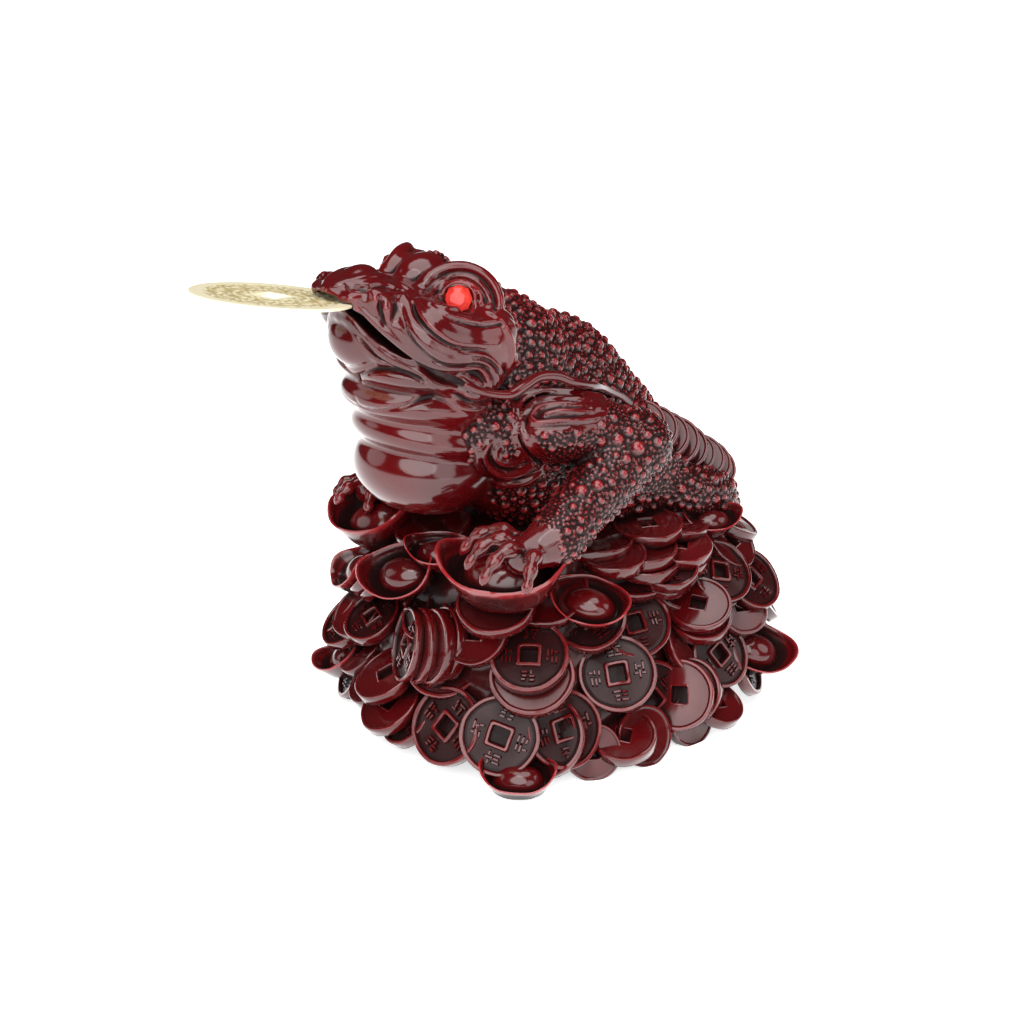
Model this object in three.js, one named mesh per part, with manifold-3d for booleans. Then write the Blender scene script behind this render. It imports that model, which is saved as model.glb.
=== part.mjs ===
// Money toad figure: a three-legged toad on a heap of coins and ingots, with a loose brass coin in its
// mouth.
// Millimetres, +Z up. The toad looks along -Y, its left side is +X, the underside lies at Z = 0.

import * as THREE from 'three';
import { mergeVertices } from 'three/addons/utils/BufferGeometryUtils.js';
import Module from 'manifold-3d';

const wasm = await Module();
wasm.setup();

// Driving sizes

const FIGURE_HEIGHT = 107;      // top of the brows above the underside
const BRASS_DIAMETER = 31.2;
const BRASS_THICKNESS = 1.2;
const BRASS_HOLE = 5.2;         // side of the square hole
const BRASS_RIM = 2.6;          // width of the flat rim
const BRASS_FIELD_DROP = 0.15;  // how far the field lies under the rim, on both faces
const GEM_WIDTH = 5.4;
const GEM_HEIGHT = 3.2;
const FIT_GAP = 0.3;            // clearance round the brass coin and the gems
const HEAP_COIN_THICKNESS = 2.5;
const COIN_RIM_SHARE = 0.84;     // inner edge of a cast coin's rim, as a share of its radius
const COIN_PIT_SHARE = 0.42;     // side of its square pit, as a share of its radius
const COIN_FIELD_DROP = 0.8;     // how far its field lies under the rim

// The free form below is written for this height and grows with FIGURE_HEIGHT.
const MODEL_HEIGHT = 107;
const GROWTH = FIGURE_HEIGHT / MODEL_HEIGHT;

// Facet sizes
const HEAD_CELL = 2;
const BODY_CELL = 3;
const FRAMED_COIN_SIDES = 14;
const PLAIN_COIN_SIDES = 12;
const INGOT_SIDES = 14;
const ROPE_SIDES = 6;
const ROPE_SPACING = 3;
const TOAD_FACETS = 3800;        // facets of the toad once the needless ones are folded away
const FIGURE_FACETS = 10400;     // facets of the toad and the heap together
const BRASS_SIDES = 48;
const TOUCH_GAP = 0.01;          // how far corners that only touch are drawn apart

// The toad's body: at = centre, size = half axes, turn = degrees about X, Y, Z,
// blend = softness of the joint.
// A row with both: true is made again on the other side.
const BODY_MASSES = [
  { at: [0, 2, 57], size: [20, 28, 21], turn: [-36, 0, 0], blend: 0 },                // torso
  { at: [0, -14, 68], size: [19, 16, 19], turn: [-20, 0, 0], blend: 6 },              // chest
  { at: [0, -14, 81], size: [14, 12, 10], turn: [-30, 0, 0], blend: 5 },              // nape
  { at: [0, 25, 48], size: [13, 13, 11], turn: [-30, 0, 0], blend: 6 },               // rump
  { at: [15, 12, 53], size: [9, 17, 11], turn: [-30, 0, 0], blend: 5, both: true },   // flank
  { at: [19, -20, 71], size: [9, 12, 11], turn: [-10, 0, 0], blend: 4, both: true },  // shoulder
];

const BODY_LIMBS = [
  { from: [20, -18, 73], to: [29.5, 1, 65], radii: [8, 7], blend: 3, both: true },          // upper arm
  { from: [29.5, 1, 65], to: [31.5, -26, 53.5], radii: [7.3, 4.8], blend: 1.5 },            // left forearm
  { from: [31.5, -26, 53], to: [30, -34, 51], radii: [4.8, 3.6], blend: 2 },                // left palm
  { from: [-31, 1, 62], to: [-27, -22, 50], radii: [7, 4.6], blend: 2 },                    // right forearm
  { from: [-27, -22, 50], to: [-25.5, -29, 47.5], radii: [4.6, 3.6], blend: 2 },            // right palm
  // single hind leg
  { from: [0, 30, 45], to: [0, 41, 38], radii: [8.5, 6], blend: 4 },
  { from: [0, 41, 38], to: [0, 45, 37], radii: [5.5, 4.5], blend: 2 },                      // hind foot
];

const HEAD_MASSES = [
  { at: [0, -30, 93], size: [17.5, 14, 10.5], turn: [-14, 0, 0], blend: 0 },            // skull
  { at: [0, -39, 95.8], size: [14, 13, 6.6], turn: [-22, 0, 0], blend: 3 },             // muzzle
  { at: [0, -47, 99.9], size: [11, 10, 3.9], turn: [-15, 0, 0], blend: 3 },             // snout
  { at: [14, -35, 90], size: [6.5, 12.5, 7.5], turn: [-40, 0, 14], blend: 2, both: true }, // cheek
  { at: [8.6, -29.5, 96.8], size: [6.4, 7.4, 6.2], turn: [0, 0, 0], blend: 1.2, both: true }, // eye bulge
  { at: [0, -38.5, 87], size: [17, 21.5, 6.6], turn: [-41, 0, 0], blend: 1 },           // lower jaw
  { at: [17.6, -34.5, 83], size: [3.6, 4.6, 4.4], turn: [0, 0, 0], blend: 1, both: true }, // jaw corner
  { at: [0, -49.6, 90.6], size: [6.4, 5.6, 6.4], turn: [0, 0, 0], blend: 0.8 },         // chin
  { at: [0, -34.5, 81.5], size: [17, 14.2, 5.2], turn: [-6, 0, 0], blend: 0.8 },        // upper throat roll
  { at: [0, -33.5, 75.4], size: [16.5, 13.4, 4.8], turn: [-4, 0, 0], blend: 0.8 },      // lower throat roll
  { at: [0, -33.5, 64.2], size: [15.8, 12.9, 10.8], turn: [-8, 0, 0], blend: 1.5 },     // throat pouch
  { at: [0, -18, 82], size: [15, 13, 12], turn: [-30, 0, 0], blend: 4 },                // neck
];

// Ridges run through a few chosen points; radii are given at the first, middle and last point.
const HEAD_RIDGES = [
  // brow over the eye
  { points: [[7.6, -39.6, 100.4], [8.2, -35.6, 102.6], [9.2, -30, 103], [10.8, -25.8, 100.6],
    [12.6, -24, 96.6], [14, -26, 94]],
    radii: [0.8, 1.4, 1.1], both: true },
  // upper lip, from the middle of the snout to the corner of the mouth
  { points: [[0, -57, 101.9], [4.8, -55.7, 100.9], [7, -54.3, 99], [11, -50.2, 94.6], [14.6, -45, 89.1],
    [17, -40.4, 87.3], [19.4, -35.6, 86.8], [20.6, -32.6, 83.6]],
    radii: [0.9, 1.2, 1.0], both: true },
  // lower lip
  { points: [[0, -55.6, 97], [5.2, -54.8, 95.9], [7.1, -53.8, 93.8], [9.8, -51.4, 91],
    [12.8, -47.5, 87.5], [16.2, -42, 82.8], [18.6, -37.4, 80.4], [20.4, -32.8, 80.6]],
    radii: [0.9, 1.2, 1.0], both: true },
  // fold that sweeps from the snout over the cheek
  { points: [[10, -45, 98.6], [13.4, -42, 94.6], [16.4, -36, 91], [18.8, -29.6, 89.6]],
    radii: [0.9, 1.2, 0.7], both: true },
  // fold above the lip
  { points: [[9.6, -48.6, 100.6], [12.4, -47.2, 97], [14.8, -43.6, 92.4], [17.6, -38, 88.9]],
    radii: [0.8, 1.1, 0.8], both: true },
  // edge of the cheek plate
  { points: [[13.5, -36.5, 97.5], [16.5, -29.5, 95], [19.4, -26.6, 89.3], [19.8, -29.4, 83.6]],
    radii: [0.7, 1.1, 0.8], both: true },
];

// The cord leaves the corner of the mouth, crosses the shoulder and ends in a string of coins on the flank.
const CORD = { points: [[18.4, -40.4, 84.6], [20.6, -35.4, 82.6], [21, -28, 81], [19.6, -18, 81],
  [18, -9, 77.5], [15, -1, 73], [13.4, 8, 68]],
  radii: [1.2, 1.5, 1.4], both: true };
const STRING = { points: [[15.2, 10, 64.2], [15.2, 18, 59.4], [14.4, 25, 54.8], [13.4, 31, 50.8],
  [11.8, 36, 47.4]],
  radius: 5.3, thickness: 2.2, coins: 5, lean: 52 };

// Mouth slit: the lips stand this far apart, measured along the side of the mouth.
const SLIT = { points: [[0, -57.5, 99.4], [5, -56, 98.4], [7, -54.6, 96.6], [10.4, -51.4, 92.8],
  [13.6, -46.8, 88.3], [16.2, -42.3, 85], [18.2, -38.6, 83.6], [19.6, -35.4, 83]],
  heights: [3, 2.6, 1.6], depth: 6, reach: 1.5 };

const TOES = [
  { points: [[30, -33, 51.5], [27, -38, 52.5], [25.4, -42, 48.6]], radii: [2.6, 2.1, 1.7] },
  { points: [[31, -34, 51.5], [32, -40, 52], [33, -44, 48.4]], radii: [2.6, 2.1, 1.7] },
  { points: [[32, -32, 51.5], [36, -37, 51.5], [38, -40, 48]], radii: [2.6, 2.1, 1.7] },
  { points: [[-25, -28, 48], [-21, -32, 48.5], [-19, -35, 45.5]], radii: [2.6, 2.1, 1.7] },
  { points: [[-26, -29, 48], [-26, -34, 49], [-26, -38, 46]], radii: [2.6, 2.1, 1.7] },
  { points: [[-27, -27, 48], [-31, -31, 48], [-32, -34, 45]], radii: [2.6, 2.1, 1.7] },
  { points: [[-4, 42, 37], [-7, 46, 37], [-7.5, 49, 34]], radii: [2.6, 2.3, 1.8] },
  { points: [[0, 43, 37.5], [0, 48, 38], [0, 51, 34]], radii: [2.6, 2.3, 1.8] },
  { points: [[4, 42, 37], [7, 46, 37], [7.5, 49, 34]], radii: [2.6, 2.3, 1.8] },
];

// Where the brass coin rests: its centre and the way its face looks
const BRASS_PLACE = { at: [-6, -65.5, 100.8], face: [-0.049, 0.165, 0.985], spin: 20 };

// Where the gems sit: the middle of the gem's girdle and the way it looks, for the left eye
const GEM_PLACE = { at: [11.6, -34.6, 98.6], bearing: 42, lift: 16 };

// The heap: a rounded block that narrows upward
const HEAP = { halfX: 40, halfY: 49, leanX: 0.3, leanY: 0.27, middleY: 2.5, squareness: 3, inset: 4.2,
  foot: 8, footHeight: 5 };
const HEAP_LEVELS = [0, 5, 12, 22, 34, 41, 45];
const HEAP_SIDES = 32;

// Coins seen from the toad's left front: where on the heap they lie (bearing from the front towards the
// left,
// height, reach beyond the block), the bearing and lift of their face, their radius. A blank one lies
// under another.
const LAID_COINS = [
  { bearing: 19, height: 11.5, reach: 0, face: [12, 28], radius: 8.2, framed: true },
  { bearing: 34, height: 12, reach: 1, face: [42, 22], radius: 8.2, framed: true },
  { bearing: 50, height: 12, reach: -0.5, face: [74, 24], radius: 8.2, framed: true },
  { bearing: 40, height: 28, reach: 1.5, face: [42, 50], radius: 8, framed: true },
  { bearing: 41, height: 24, reach: 1.2, face: [46, 48], radius: 8.6, blank: true },
  { bearing: 67, height: 20.7, reach: 0.5, face: [54, 36], radius: 8, framed: true },
  { bearing: 91, height: 12, reach: 0, face: [28, 28], radius: 7.4 },
  { bearing: 113, height: 16.5, reach: 0, face: [88, 30], radius: 7.3, framed: true },
  { bearing: 107, height: 29, reach: 1, face: [56, 62], radius: 7 },
  { bearing: 96, height: 38.5, reach: 1, face: [60, 68], radius: 6.6, framed: true },
  { bearing: 124, height: 32.5, reach: 0, face: [86, 45], radius: 7.4, framed: true },
  { bearing: 128, height: 24, reach: 0, face: [90, 42], radius: 7 },
  { bearing: 136, height: 28, reach: 1.5, face: [98, 42], radius: 7.4, framed: true },
  { bearing: 138, height: 36, reach: -1, face: [104, 45], radius: 6.6 },
  { bearing: 78, height: 28.5, reach: -1, face: [62, 40], radius: 7.6, framed: true },
  { bearing: 68, height: 8, reach: -1, face: [48, 66], radius: 6.8 },
  { bearing: 100, height: 45.5, reach: -4, face: [60, 84], radius: 7.4 },
  { bearing: 90, height: 42, reach: -2.5, face: [60, 86], radius: 7.6, blank: true },
  { bearing: 72, height: 43, reach: -2, face: [60, 80], radius: 7 },
  { bearing: 108, height: 41, reach: -0.5, face: [60, 78], radius: 7 },
  { bearing: 30, height: 38, reach: 1.5, face: [36, 62], radius: 8, blank: true },
  { bearing: 24, height: 31, reach: 0, face: [20, 40], radius: 7 },
  { bearing: 1, height: 24, reach: 1, face: [-24, 14], radius: 7.8, framed: true },
  { bearing: 6, height: 25, reach: 1, face: [-20, 14], radius: 7.8, blank: true },
  { bearing: 11, height: 26, reach: 1, face: [-16, 14], radius: 7.8, blank: true },
  { bearing: -26, height: 24, reach: 1, face: [-8, 48], radius: 6.6, blank: true },
  { bearing: -17, height: 25.5, reach: 0.5, face: [-2, 56], radius: 6.6, framed: true },
  { bearing: -5, height: 16.5, reach: 0.5, face: [-14, 58], radius: 7.2 },
  { bearing: -2, height: 11, reach: -0.5, face: [-12, 52], radius: 7.6 },
  { bearing: -15, height: 12, reach: -3, face: [-20, 50], radius: 7 },
  { bearing: -24, height: 34, reach: 1, face: [-58, 40], radius: 6.4 },
  { bearing: -27, height: 15, reach: -2.5, face: [-24, 44], radius: 6.6 },
];

// Ingots are given the same way; turn spins the long axis about the face
const LAID_INGOTS = [
  { bearing: 33, height: 46.5, reach: 6.5, face: [40, 76], radius: 13.4, turn: 0 },   // under the left hand
  { bearing: -31, height: 44, reach: 3, face: [-20, 72], radius: 11, turn: 30 },     // under the right hand
  { bearing: -4, height: 38.5, reach: 3, face: [10, 46], radius: 9, turn: 20 },       // under the throat
  { bearing: 58, height: 36.5, reach: 2, face: [54, 58], radius: 8.4, turn: -20 },    // below the left arm
  { bearing: 5, height: 44, reach: -1, face: [40, 70], radius: 7, turn: 0 },
  { bearing: 39, height: 5, reach: 1, face: [42, 70], radius: 8, turn: 0 },
  { bearing: 129, height: 14, reach: 0, face: [84, 50], radius: 9, turn: -30 },
  { bearing: 130, height: 43, reach: -1, face: [60, 70], radius: 6.5, turn: 0 },
  { bearing: -34, height: 11, reach: 0, face: [-40, 55], radius: 8, turn: 60 },
];

// The rest of the heap: tiers of coins from bearing to bearing, with an ingot now and then. Where the laid
// coins
// and ingots are, the tiers lie deeper.
const TIERS = [
  { height: 8.6, coins: 17, lift: 28, reach: -0.5 },
  { height: 19, coins: 16, lift: 36, reach: -0.5 },
  { height: 29.5, coins: 14, lift: 48, reach: -1.5 },
  { height: 37, coins: 12, lift: 62, reach: -2.5 },
  { height: 42.5, coins: 11, lift: 80, reach: -4.5 },
];
const TIER_RADIUS = 8.5;
const TIER_JITTER = 0.3;        // share of the step by which a coin strays from its even place
const TIER_TURN = 22;           // degrees by which a face strays from the outward direction
const TIER_RAISE = 2;          // how much higher the tiers are under the laid pieces
const TIER_DEPTH = -2.6;        // reach of the tiers under the laid pieces
const LAID_STRETCH = [-40, 146]; // bearings that the laid pieces cover
const INGOT_EVERY = 6;
const FLAT_LIFT = 75;           // tiers that lie flatter than this stay whole under the laid pieces

const FAR = 30;
const GROUND = 300;             // side of the block that cuts the underside flat

// Small helpers

const mirrored = (point) => [-point[0], point[1], point[2]];

function bearingVector(bearing, lift = 0) {
  const b = THREE.MathUtils.degToRad(bearing);
  const l = THREE.MathUtils.degToRad(lift);
  return new THREE.Vector3(Math.sin(b) * Math.cos(l), -Math.cos(b) * Math.cos(l), Math.sin(l));
}

// A value strayed evenly between -1 and 1, the same in every run
function stray(seed) {
  const x = Math.sin(seed * 12.9898) * 43758.5453;
  return 2 * (x - Math.floor(x)) - 1;
}

function curveThrough(points) {
  return new THREE.CatmullRomCurve3(points.map((p) => new THREE.Vector3(...p)), false, 'catmullrom', 0.5);
}

function threeStep(values, t) {
  const [first, middle, last] = values;
  return t < 0.5 ? THREE.MathUtils.lerp(first, middle, 2 * t) : THREE.MathUtils.lerp(middle, last,
    2 * t - 1);
}

// Clay: shapes with a distance function that melt into each other

function egg({ at, size, turn }) {
  const euler = new THREE.Euler(...turn.map(THREE.MathUtils.degToRad), 'ZYX');
  const m = new THREE.Matrix4().makeRotationFromEuler(euler).elements;
  const [a, b, c] = size;
  return (x, y, z) => {
    const dx = x - at[0];
    const dy = y - at[1];
    const dz = z - at[2];
    const u = m[0] * dx + m[1] * dy + m[2] * dz;
    const v = m[4] * dx + m[5] * dy + m[6] * dz;
    const w = m[8] * dx + m[9] * dy + m[10] * dz;
    const near = Math.hypot(u / a, v / b, w / c);
    const steep = Math.hypot(u / (a * a), v / (b * b), w / (c * c)) + 1e-9;
    return near * (near - 1) / steep;
  };
}

function limb({ from, to, radii }) {
  const along = to.map((value, i) => value - from[i]);
  const length2 = along.reduce((sum, value) => sum + value * value, 1e-12);
  return (x, y, z) => {
    const d = [x - from[0], y - from[1], z - from[2]];
    const dot = d[0] * along[0] + d[1] * along[1] + d[2] * along[2];
    const t = THREE.MathUtils.clamp(dot / length2, 0, 1);
    const gap = Math.hypot(d[0] - t * along[0], d[1] - t * along[1], d[2] - t * along[2]);
    return gap - THREE.MathUtils.lerp(radii[0], radii[1], t);
  };
}

function meltedDistance(near, next, blend) {
  if (blend <= 0) {
    return Math.min(near, next);
  }
  const h = Math.max(blend - Math.abs(near - next), 0) / blend;
  return Math.min(near, next) - h * h * blend * 0.25;
}

// Every row of a table as a shape, the mirrored ones twice
function bothSides(rows, mirrorRow) {
  return rows.flatMap((row) => (row.both ? [row, mirrorRow(row)] : [row]));
}

function mirroredMass(row) {
  return { ...row, at: mirrored(row.at), turn: [row.turn[0], -row.turn[1], -row.turn[2]] };
}

function mirroredLimb(row) {
  return { ...row, from: mirrored(row.from), to: mirrored(row.to) };
}

function mirroredPath(row) {
  return { ...row, points: row.points.map(mirrored) };
}

function clayOf(masses, limbs) {
  const shapes = [
    ...bothSides(masses, mirroredMass).map((row) => ({ distance: egg(row), blend: row.blend })),
    ...bothSides(limbs, mirroredLimb).map((row) => ({ distance: limb(row), blend: row.blend })),
  ];
  return (x, y, z) => shapes.reduce((near, s) => meltedDistance(near, s.distance(x, y, z), s.blend), FAR);
}

// Surface of the clay: one vertex in every grid cell that the surface crosses, drawn onto the surface
// itself

function skinClay(clay, low, high, cell) {
  const count = low.map((value, i) => Math.ceil((high[i] - value) / cell) + 1);
  const node = (i, j, k) => (i * count[1] + j) * count[2] + k;
  const values = new Float64Array(count[0] * count[1] * count[2]);
  for (let i = 0; i < count[0]; i += 1) {
    for (let j = 0; j < count[1]; j += 1) {
      for (let k = 0; k < count[2]; k += 1) {
        values[node(i, j, k)] = clay(low[0] + i * cell, low[1] + j * cell, low[2] + k * cell);
      }
    }
  }
  const vertexOf = new Map();
  const positions = [];
  const corners = [0, 1, 2, 3, 4, 5, 6, 7].map((c) => [c & 1, (c >> 1) & 1, (c >> 2) & 1]);
  const edges = corners.flatMap((a, i) => corners.map((b, j) => [i, j])
    .filter(([, j]) => j > i && corners[j].reduce((n, value, axis) => n + Math.abs(value - a[axis]),
      0) === 1));
  for (let i = 0; i < count[0] - 1; i += 1) {
    for (let j = 0; j < count[1] - 1; j += 1) {
      for (let k = 0; k < count[2] - 1; k += 1) {
        const f = corners.map(([a, b, c]) => values[node(i + a, j + b, k + c)]);
        const crossed = edges.filter(([a, b]) => (f[a] < 0) !== (f[b] < 0));
        if (crossed.length === 0) {
          continue;
        }
        const mean = [0, 0, 0];
        for (const [a, b] of crossed) {
          const t = f[a] / (f[a] - f[b]);
          corners[a].forEach((value, axis) => {
            mean[axis] += (value + t * (corners[b][axis] - value)) / crossed.length;
          });
        }
        const start = [i, j, k].map((index, axis) => low[axis] + (index + mean[axis]) * cell);
        vertexOf.set(node(i, j, k), positions.length / 3);
        positions.push(...drawnOnto(clay, start, cell * 0.4));
      }
    }
  }
  return new THREE.BufferGeometry()
    .setAttribute('position', new THREE.Float32BufferAttribute(positions, 3))
    .setIndex(quadIndex(values, count, node, vertexOf));
}

function drawnOnto(clay, start, limit) {
  let [x, y, z] = start;
  const h = 0.05;
  for (let step = 0; step < 3; step += 1) {
    const value = clay(x, y, z);
    const slope = [
      (clay(x + h, y, z) - clay(x - h, y, z)) / (2 * h),
      (clay(x, y + h, z) - clay(x, y - h, z)) / (2 * h),
      (clay(x, y, z + h) - clay(x, y, z - h)) / (2 * h),
    ];
    const steep2 = slope.reduce((sum, g) => sum + g * g, 1e-6);
    x -= value * slope[0] / steep2;
    y -= value * slope[1] / steep2;
    z -= value * slope[2] / steep2;
  }
  return [x, y, z].map((value, axis) => THREE.MathUtils.clamp(value, start[axis] - limit,
    start[axis] + limit));
}

function quadIndex(values, count, node, vertexOf) {
  const index = [];
  const axes = [[1, 0, 0], [0, 1, 0], [0, 0, 1]];
  for (let i = 1; i < count[0] - 1; i += 1) {
    for (let j = 1; j < count[1] - 1; j += 1) {
      for (let k = 1; k < count[2] - 1; k += 1) {
        axes.forEach((step, axis) => {
          const here = values[node(i, j, k)] < 0;
          const there = values[node(i + step[0], j + step[1], k + step[2])] < 0;
          if (here === there) {
            return;
          }
          const u = axes[(axis + 1) % 3];
          const v = axes[(axis + 2) % 3];
          const cell = (a, b) => vertexOf.get(node(i - a * u[0] - b * v[0], j - a * u[1] - b * v[1],
            k - a * u[2] - b * v[2]));
          const [p, q, r, s] = [cell(1, 1), cell(0, 1), cell(0, 0), cell(1, 0)];
          index.push(...(here ? [p, q, r, p, r, s] : [p, r, q, p, s, r]));
        });
      }
    }
  }
  return index;
}

// Solids made from rings of points

// Rings of equal length, each closed to the next one, with a fan on the first and the last ring
function ringSolid(rings) {
  const sides = rings[0].length;
  const positions = rings.flat().flatMap((p) => [p.x, p.y, p.z]);
  const index = [];
  for (let r = 0; r + 1 < rings.length; r += 1) {
    for (let i = 0; i < sides; i += 1) {
      const a = r * sides + i;
      const b = r * sides + (i + 1) % sides;
      index.push(a, b, b + sides, a, b + sides, a + sides);
    }
  }
  const cap = (ring, start, flip) => {
    const middle = ring.reduce((sum, p) => sum.add(p), new THREE.Vector3()).divideScalar(sides);
    const tip = positions.length / 3;
    positions.push(middle.x, middle.y, middle.z);
    for (let i = 0; i < sides; i += 1) {
      const a = start + i;
      const b = start + (i + 1) % sides;
      index.push(...(flip ? [tip, b, a] : [tip, a, b]));
    }
  };
  cap(rings[0], 0, true);
  cap(rings[rings.length - 1], (rings.length - 1) * sides, false);
  return new THREE.BufferGeometry()
    .setAttribute('position', new THREE.Float32BufferAttribute(positions, 3))
    .setIndex(index);
}

function ringOf(sides, pointAt) {
  return Array.from({ length: sides }, (_, i) => pointAt(2 * Math.PI * i / sides));
}

// A round rope through the points of a path
function rope({ points, radii }) {
  const curve = curveThrough(points);
  const steps = Math.max(3, Math.round(curve.getLength() / ROPE_SPACING));
  const frames = curve.computeFrenetFrames(steps, false);
  const rings = Array.from({ length: steps + 1 }, (_, s) => {
    const centre = curve.getPointAt(s / steps);
    const radius = threeStep(radii, s / steps);
    return ringOf(ROPE_SIDES, (a) => centre.clone()
      .addScaledVector(frames.normals[s], radius * Math.cos(a))
      .addScaledVector(frames.binormals[s], radius * Math.sin(a)));
  });
  return ringSolid(rings);
}

// A cast coin with its face at local Z = 0 and its thickness below it. A framed one has a raised rim round
// a sunken field.
function castCoin({ radius, framed, blank }) {
  const sides = framed ? FRAMED_COIN_SIDES : PLAIN_COIN_SIDES;
  const level = (r, z) => ringOf(sides, (a) => new THREE.Vector3(r * Math.cos(a), r * Math.sin(a), z));
  const edge = [level(radius, -HEAP_COIN_THICKNESS), level(radius, 0)];
  const field = [level(COIN_RIM_SHARE * radius, 0), level(COIN_RIM_SHARE * radius, -COIN_FIELD_DROP)];
  const body = solid(ringSolid(framed ? [...edge, ...field] : edge));
  if (blank) {
    return body;
  }
  const side = COIN_PIT_SHARE * radius;
  const pit = solid(new THREE.BoxGeometry(side, side, HEAP_COIN_THICKNESS).toNonIndexed());
  return body.subtract(pit);
}

// A boat-shaped ingot with its rim at local Z = 0: raised ends along X, a basin and a dome in the middle
function castIngot(radius) {
  const width = 0.72;
  const depth = 0.6 * radius;
  const lift = 0.24 * radius;
  const level = (share, z, rise) => ringOf(INGOT_SIDES, (a) => new THREE.Vector3(
    share * radius * Math.cos(a),
    share * radius * width * Math.sin(a),
    z + rise * Math.cos(a) ** 4,
  ));
  return ringSolid([
    level(0.55, -depth, 0),
    level(1, 0, lift),
    level(0.86, -0.04 * radius, lift),
    level(0.6, -0.34 * radius, 0),
    level(0.4, 0.08 * radius, 0),
  ]);
}

// Joins and cuts

function solid(geometry) {
  const bare = new THREE.BufferGeometry().setAttribute('position',
    geometry.getAttribute('position').clone());
  if (geometry.index) {
    bare.setIndex(geometry.index.clone());
  }
  const closed = mergeVertices(bare, 1e-4);
  return new wasm.Manifold(new wasm.Mesh({
    numProp: 3,
    vertProperties: new Float32Array(closed.getAttribute('position').array),
    triVerts: new Uint32Array(closed.index.array),
  }));
}

function geometryOf(manifold) {
  const mesh = manifold.getMesh();
  return new THREE.BufferGeometry()
    .setAttribute('position', new THREE.Float32BufferAttribute(mesh.vertProperties, 3))
    .setIndex(Array.from(mesh.triVerts));
}

const joined = (solids) => solids.reduce((all, next) => all.add(next));

// Facets

function pointsAndFaces(geometry) {
  const position = geometry.getAttribute('position');
  const corner = (_, i) => new THREE.Vector3().fromBufferAttribute(position, i);
  const face = (_, i) => [0, 1, 2].map((c) => geometry.index.getX(3 * i + c));
  const points = Array.from({ length: position.count }, corner);
  const faces = Array.from({ length: geometry.index.count / 3 }, face);
  return { points, faces };
}

function geometryFrom(points, faces) {
  return new THREE.BufferGeometry()
    .setAttribute('position', new THREE.Float32BufferAttribute(points.flatMap((p) => [p.x, p.y, p.z]), 3))
    .setIndex(faces.flat());
}

// The largest shell alone: pockets sealed between the pieces are filled
function outerShell(geometry) {
  const { points, faces } = pointsAndFaces(geometry);
  const owner = points.map((_, i) => i);
  const find = (i) => {
    let top = i;
    while (owner[top] !== top) {
      owner[top] = owner[owner[top]];
      top = owner[top];
    }
    return top;
  };
  faces.forEach(([a, b, c]) => {
    owner[find(a)] = find(b);
    owner[find(b)] = find(c);
  });
  const sizes = new Map();
  faces.forEach(([a]) => sizes.set(find(a), (sizes.get(find(a)) ?? 0) + 1));
  const largest = [...sizes].reduce((best, next) => (next[1] > best[1] ? next : best))[0];
  return geometryFrom(points, faces.filter(([a]) => find(a) === largest));
}

// The sum of squared distances to the planes round a point, kept as the ten numbers of a
// symmetric 4 x 4 matrix
function planeQuadric(a, b, c) {
  const normal = b.clone().sub(a).cross(c.clone().sub(a));
  const area = normal.length() / 2;
  normal.normalize();
  const plane = [normal.x, normal.y, normal.z, -normal.dot(a)];
  const quadric = [];
  for (let i = 0; i < 4; i += 1) {
    for (let j = i; j < 4; j += 1) {
      quadric.push(area * plane[i] * plane[j]);
    }
  }
  return quadric;
}

function quadricError(q, { x, y, z }) {
  return q[0] * x * x + q[4] * y * y + q[7] * z * z + q[9]
    + 2 * (q[1] * x * y + q[2] * x * z + q[3] * x + q[5] * y * z + q[6] * y + q[8] * z);
}

const onUnderside = (point) => Math.abs(point.z) < 1e-5;

// The best point for folding an edge into: one of its ends or its middle
function bestFold(points, quadrics, a, b) {
  const sum = quadrics[a].map((value, i) => value + quadrics[b][i]);
  const middle = points[a].clone().lerp(points[b], 0.5);
  const length2 = points[a].distanceToSquared(points[b]);
  return [points[a], points[b], middle]
    .map((target) => ({ a, b, target, cost: quadricError(sum, target) + 1e-4 * length2 }))
    .reduce((best, next) => (next.cost < best.cost ? next : best));
}

function keepsItsWay(points, face, moved, target) {
  const [a, b, c] = face.map((v) => points[v]);
  const [d, e, f] = face.map((v) => (v === moved ? target : points[v]));
  const before = b.clone().sub(a).cross(c.clone().sub(a));
  const after = e.clone().sub(d).cross(f.clone().sub(d));
  return after.length() > 1e-3 && before.dot(after) > 0.3 * before.length() * after.length();
}

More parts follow.
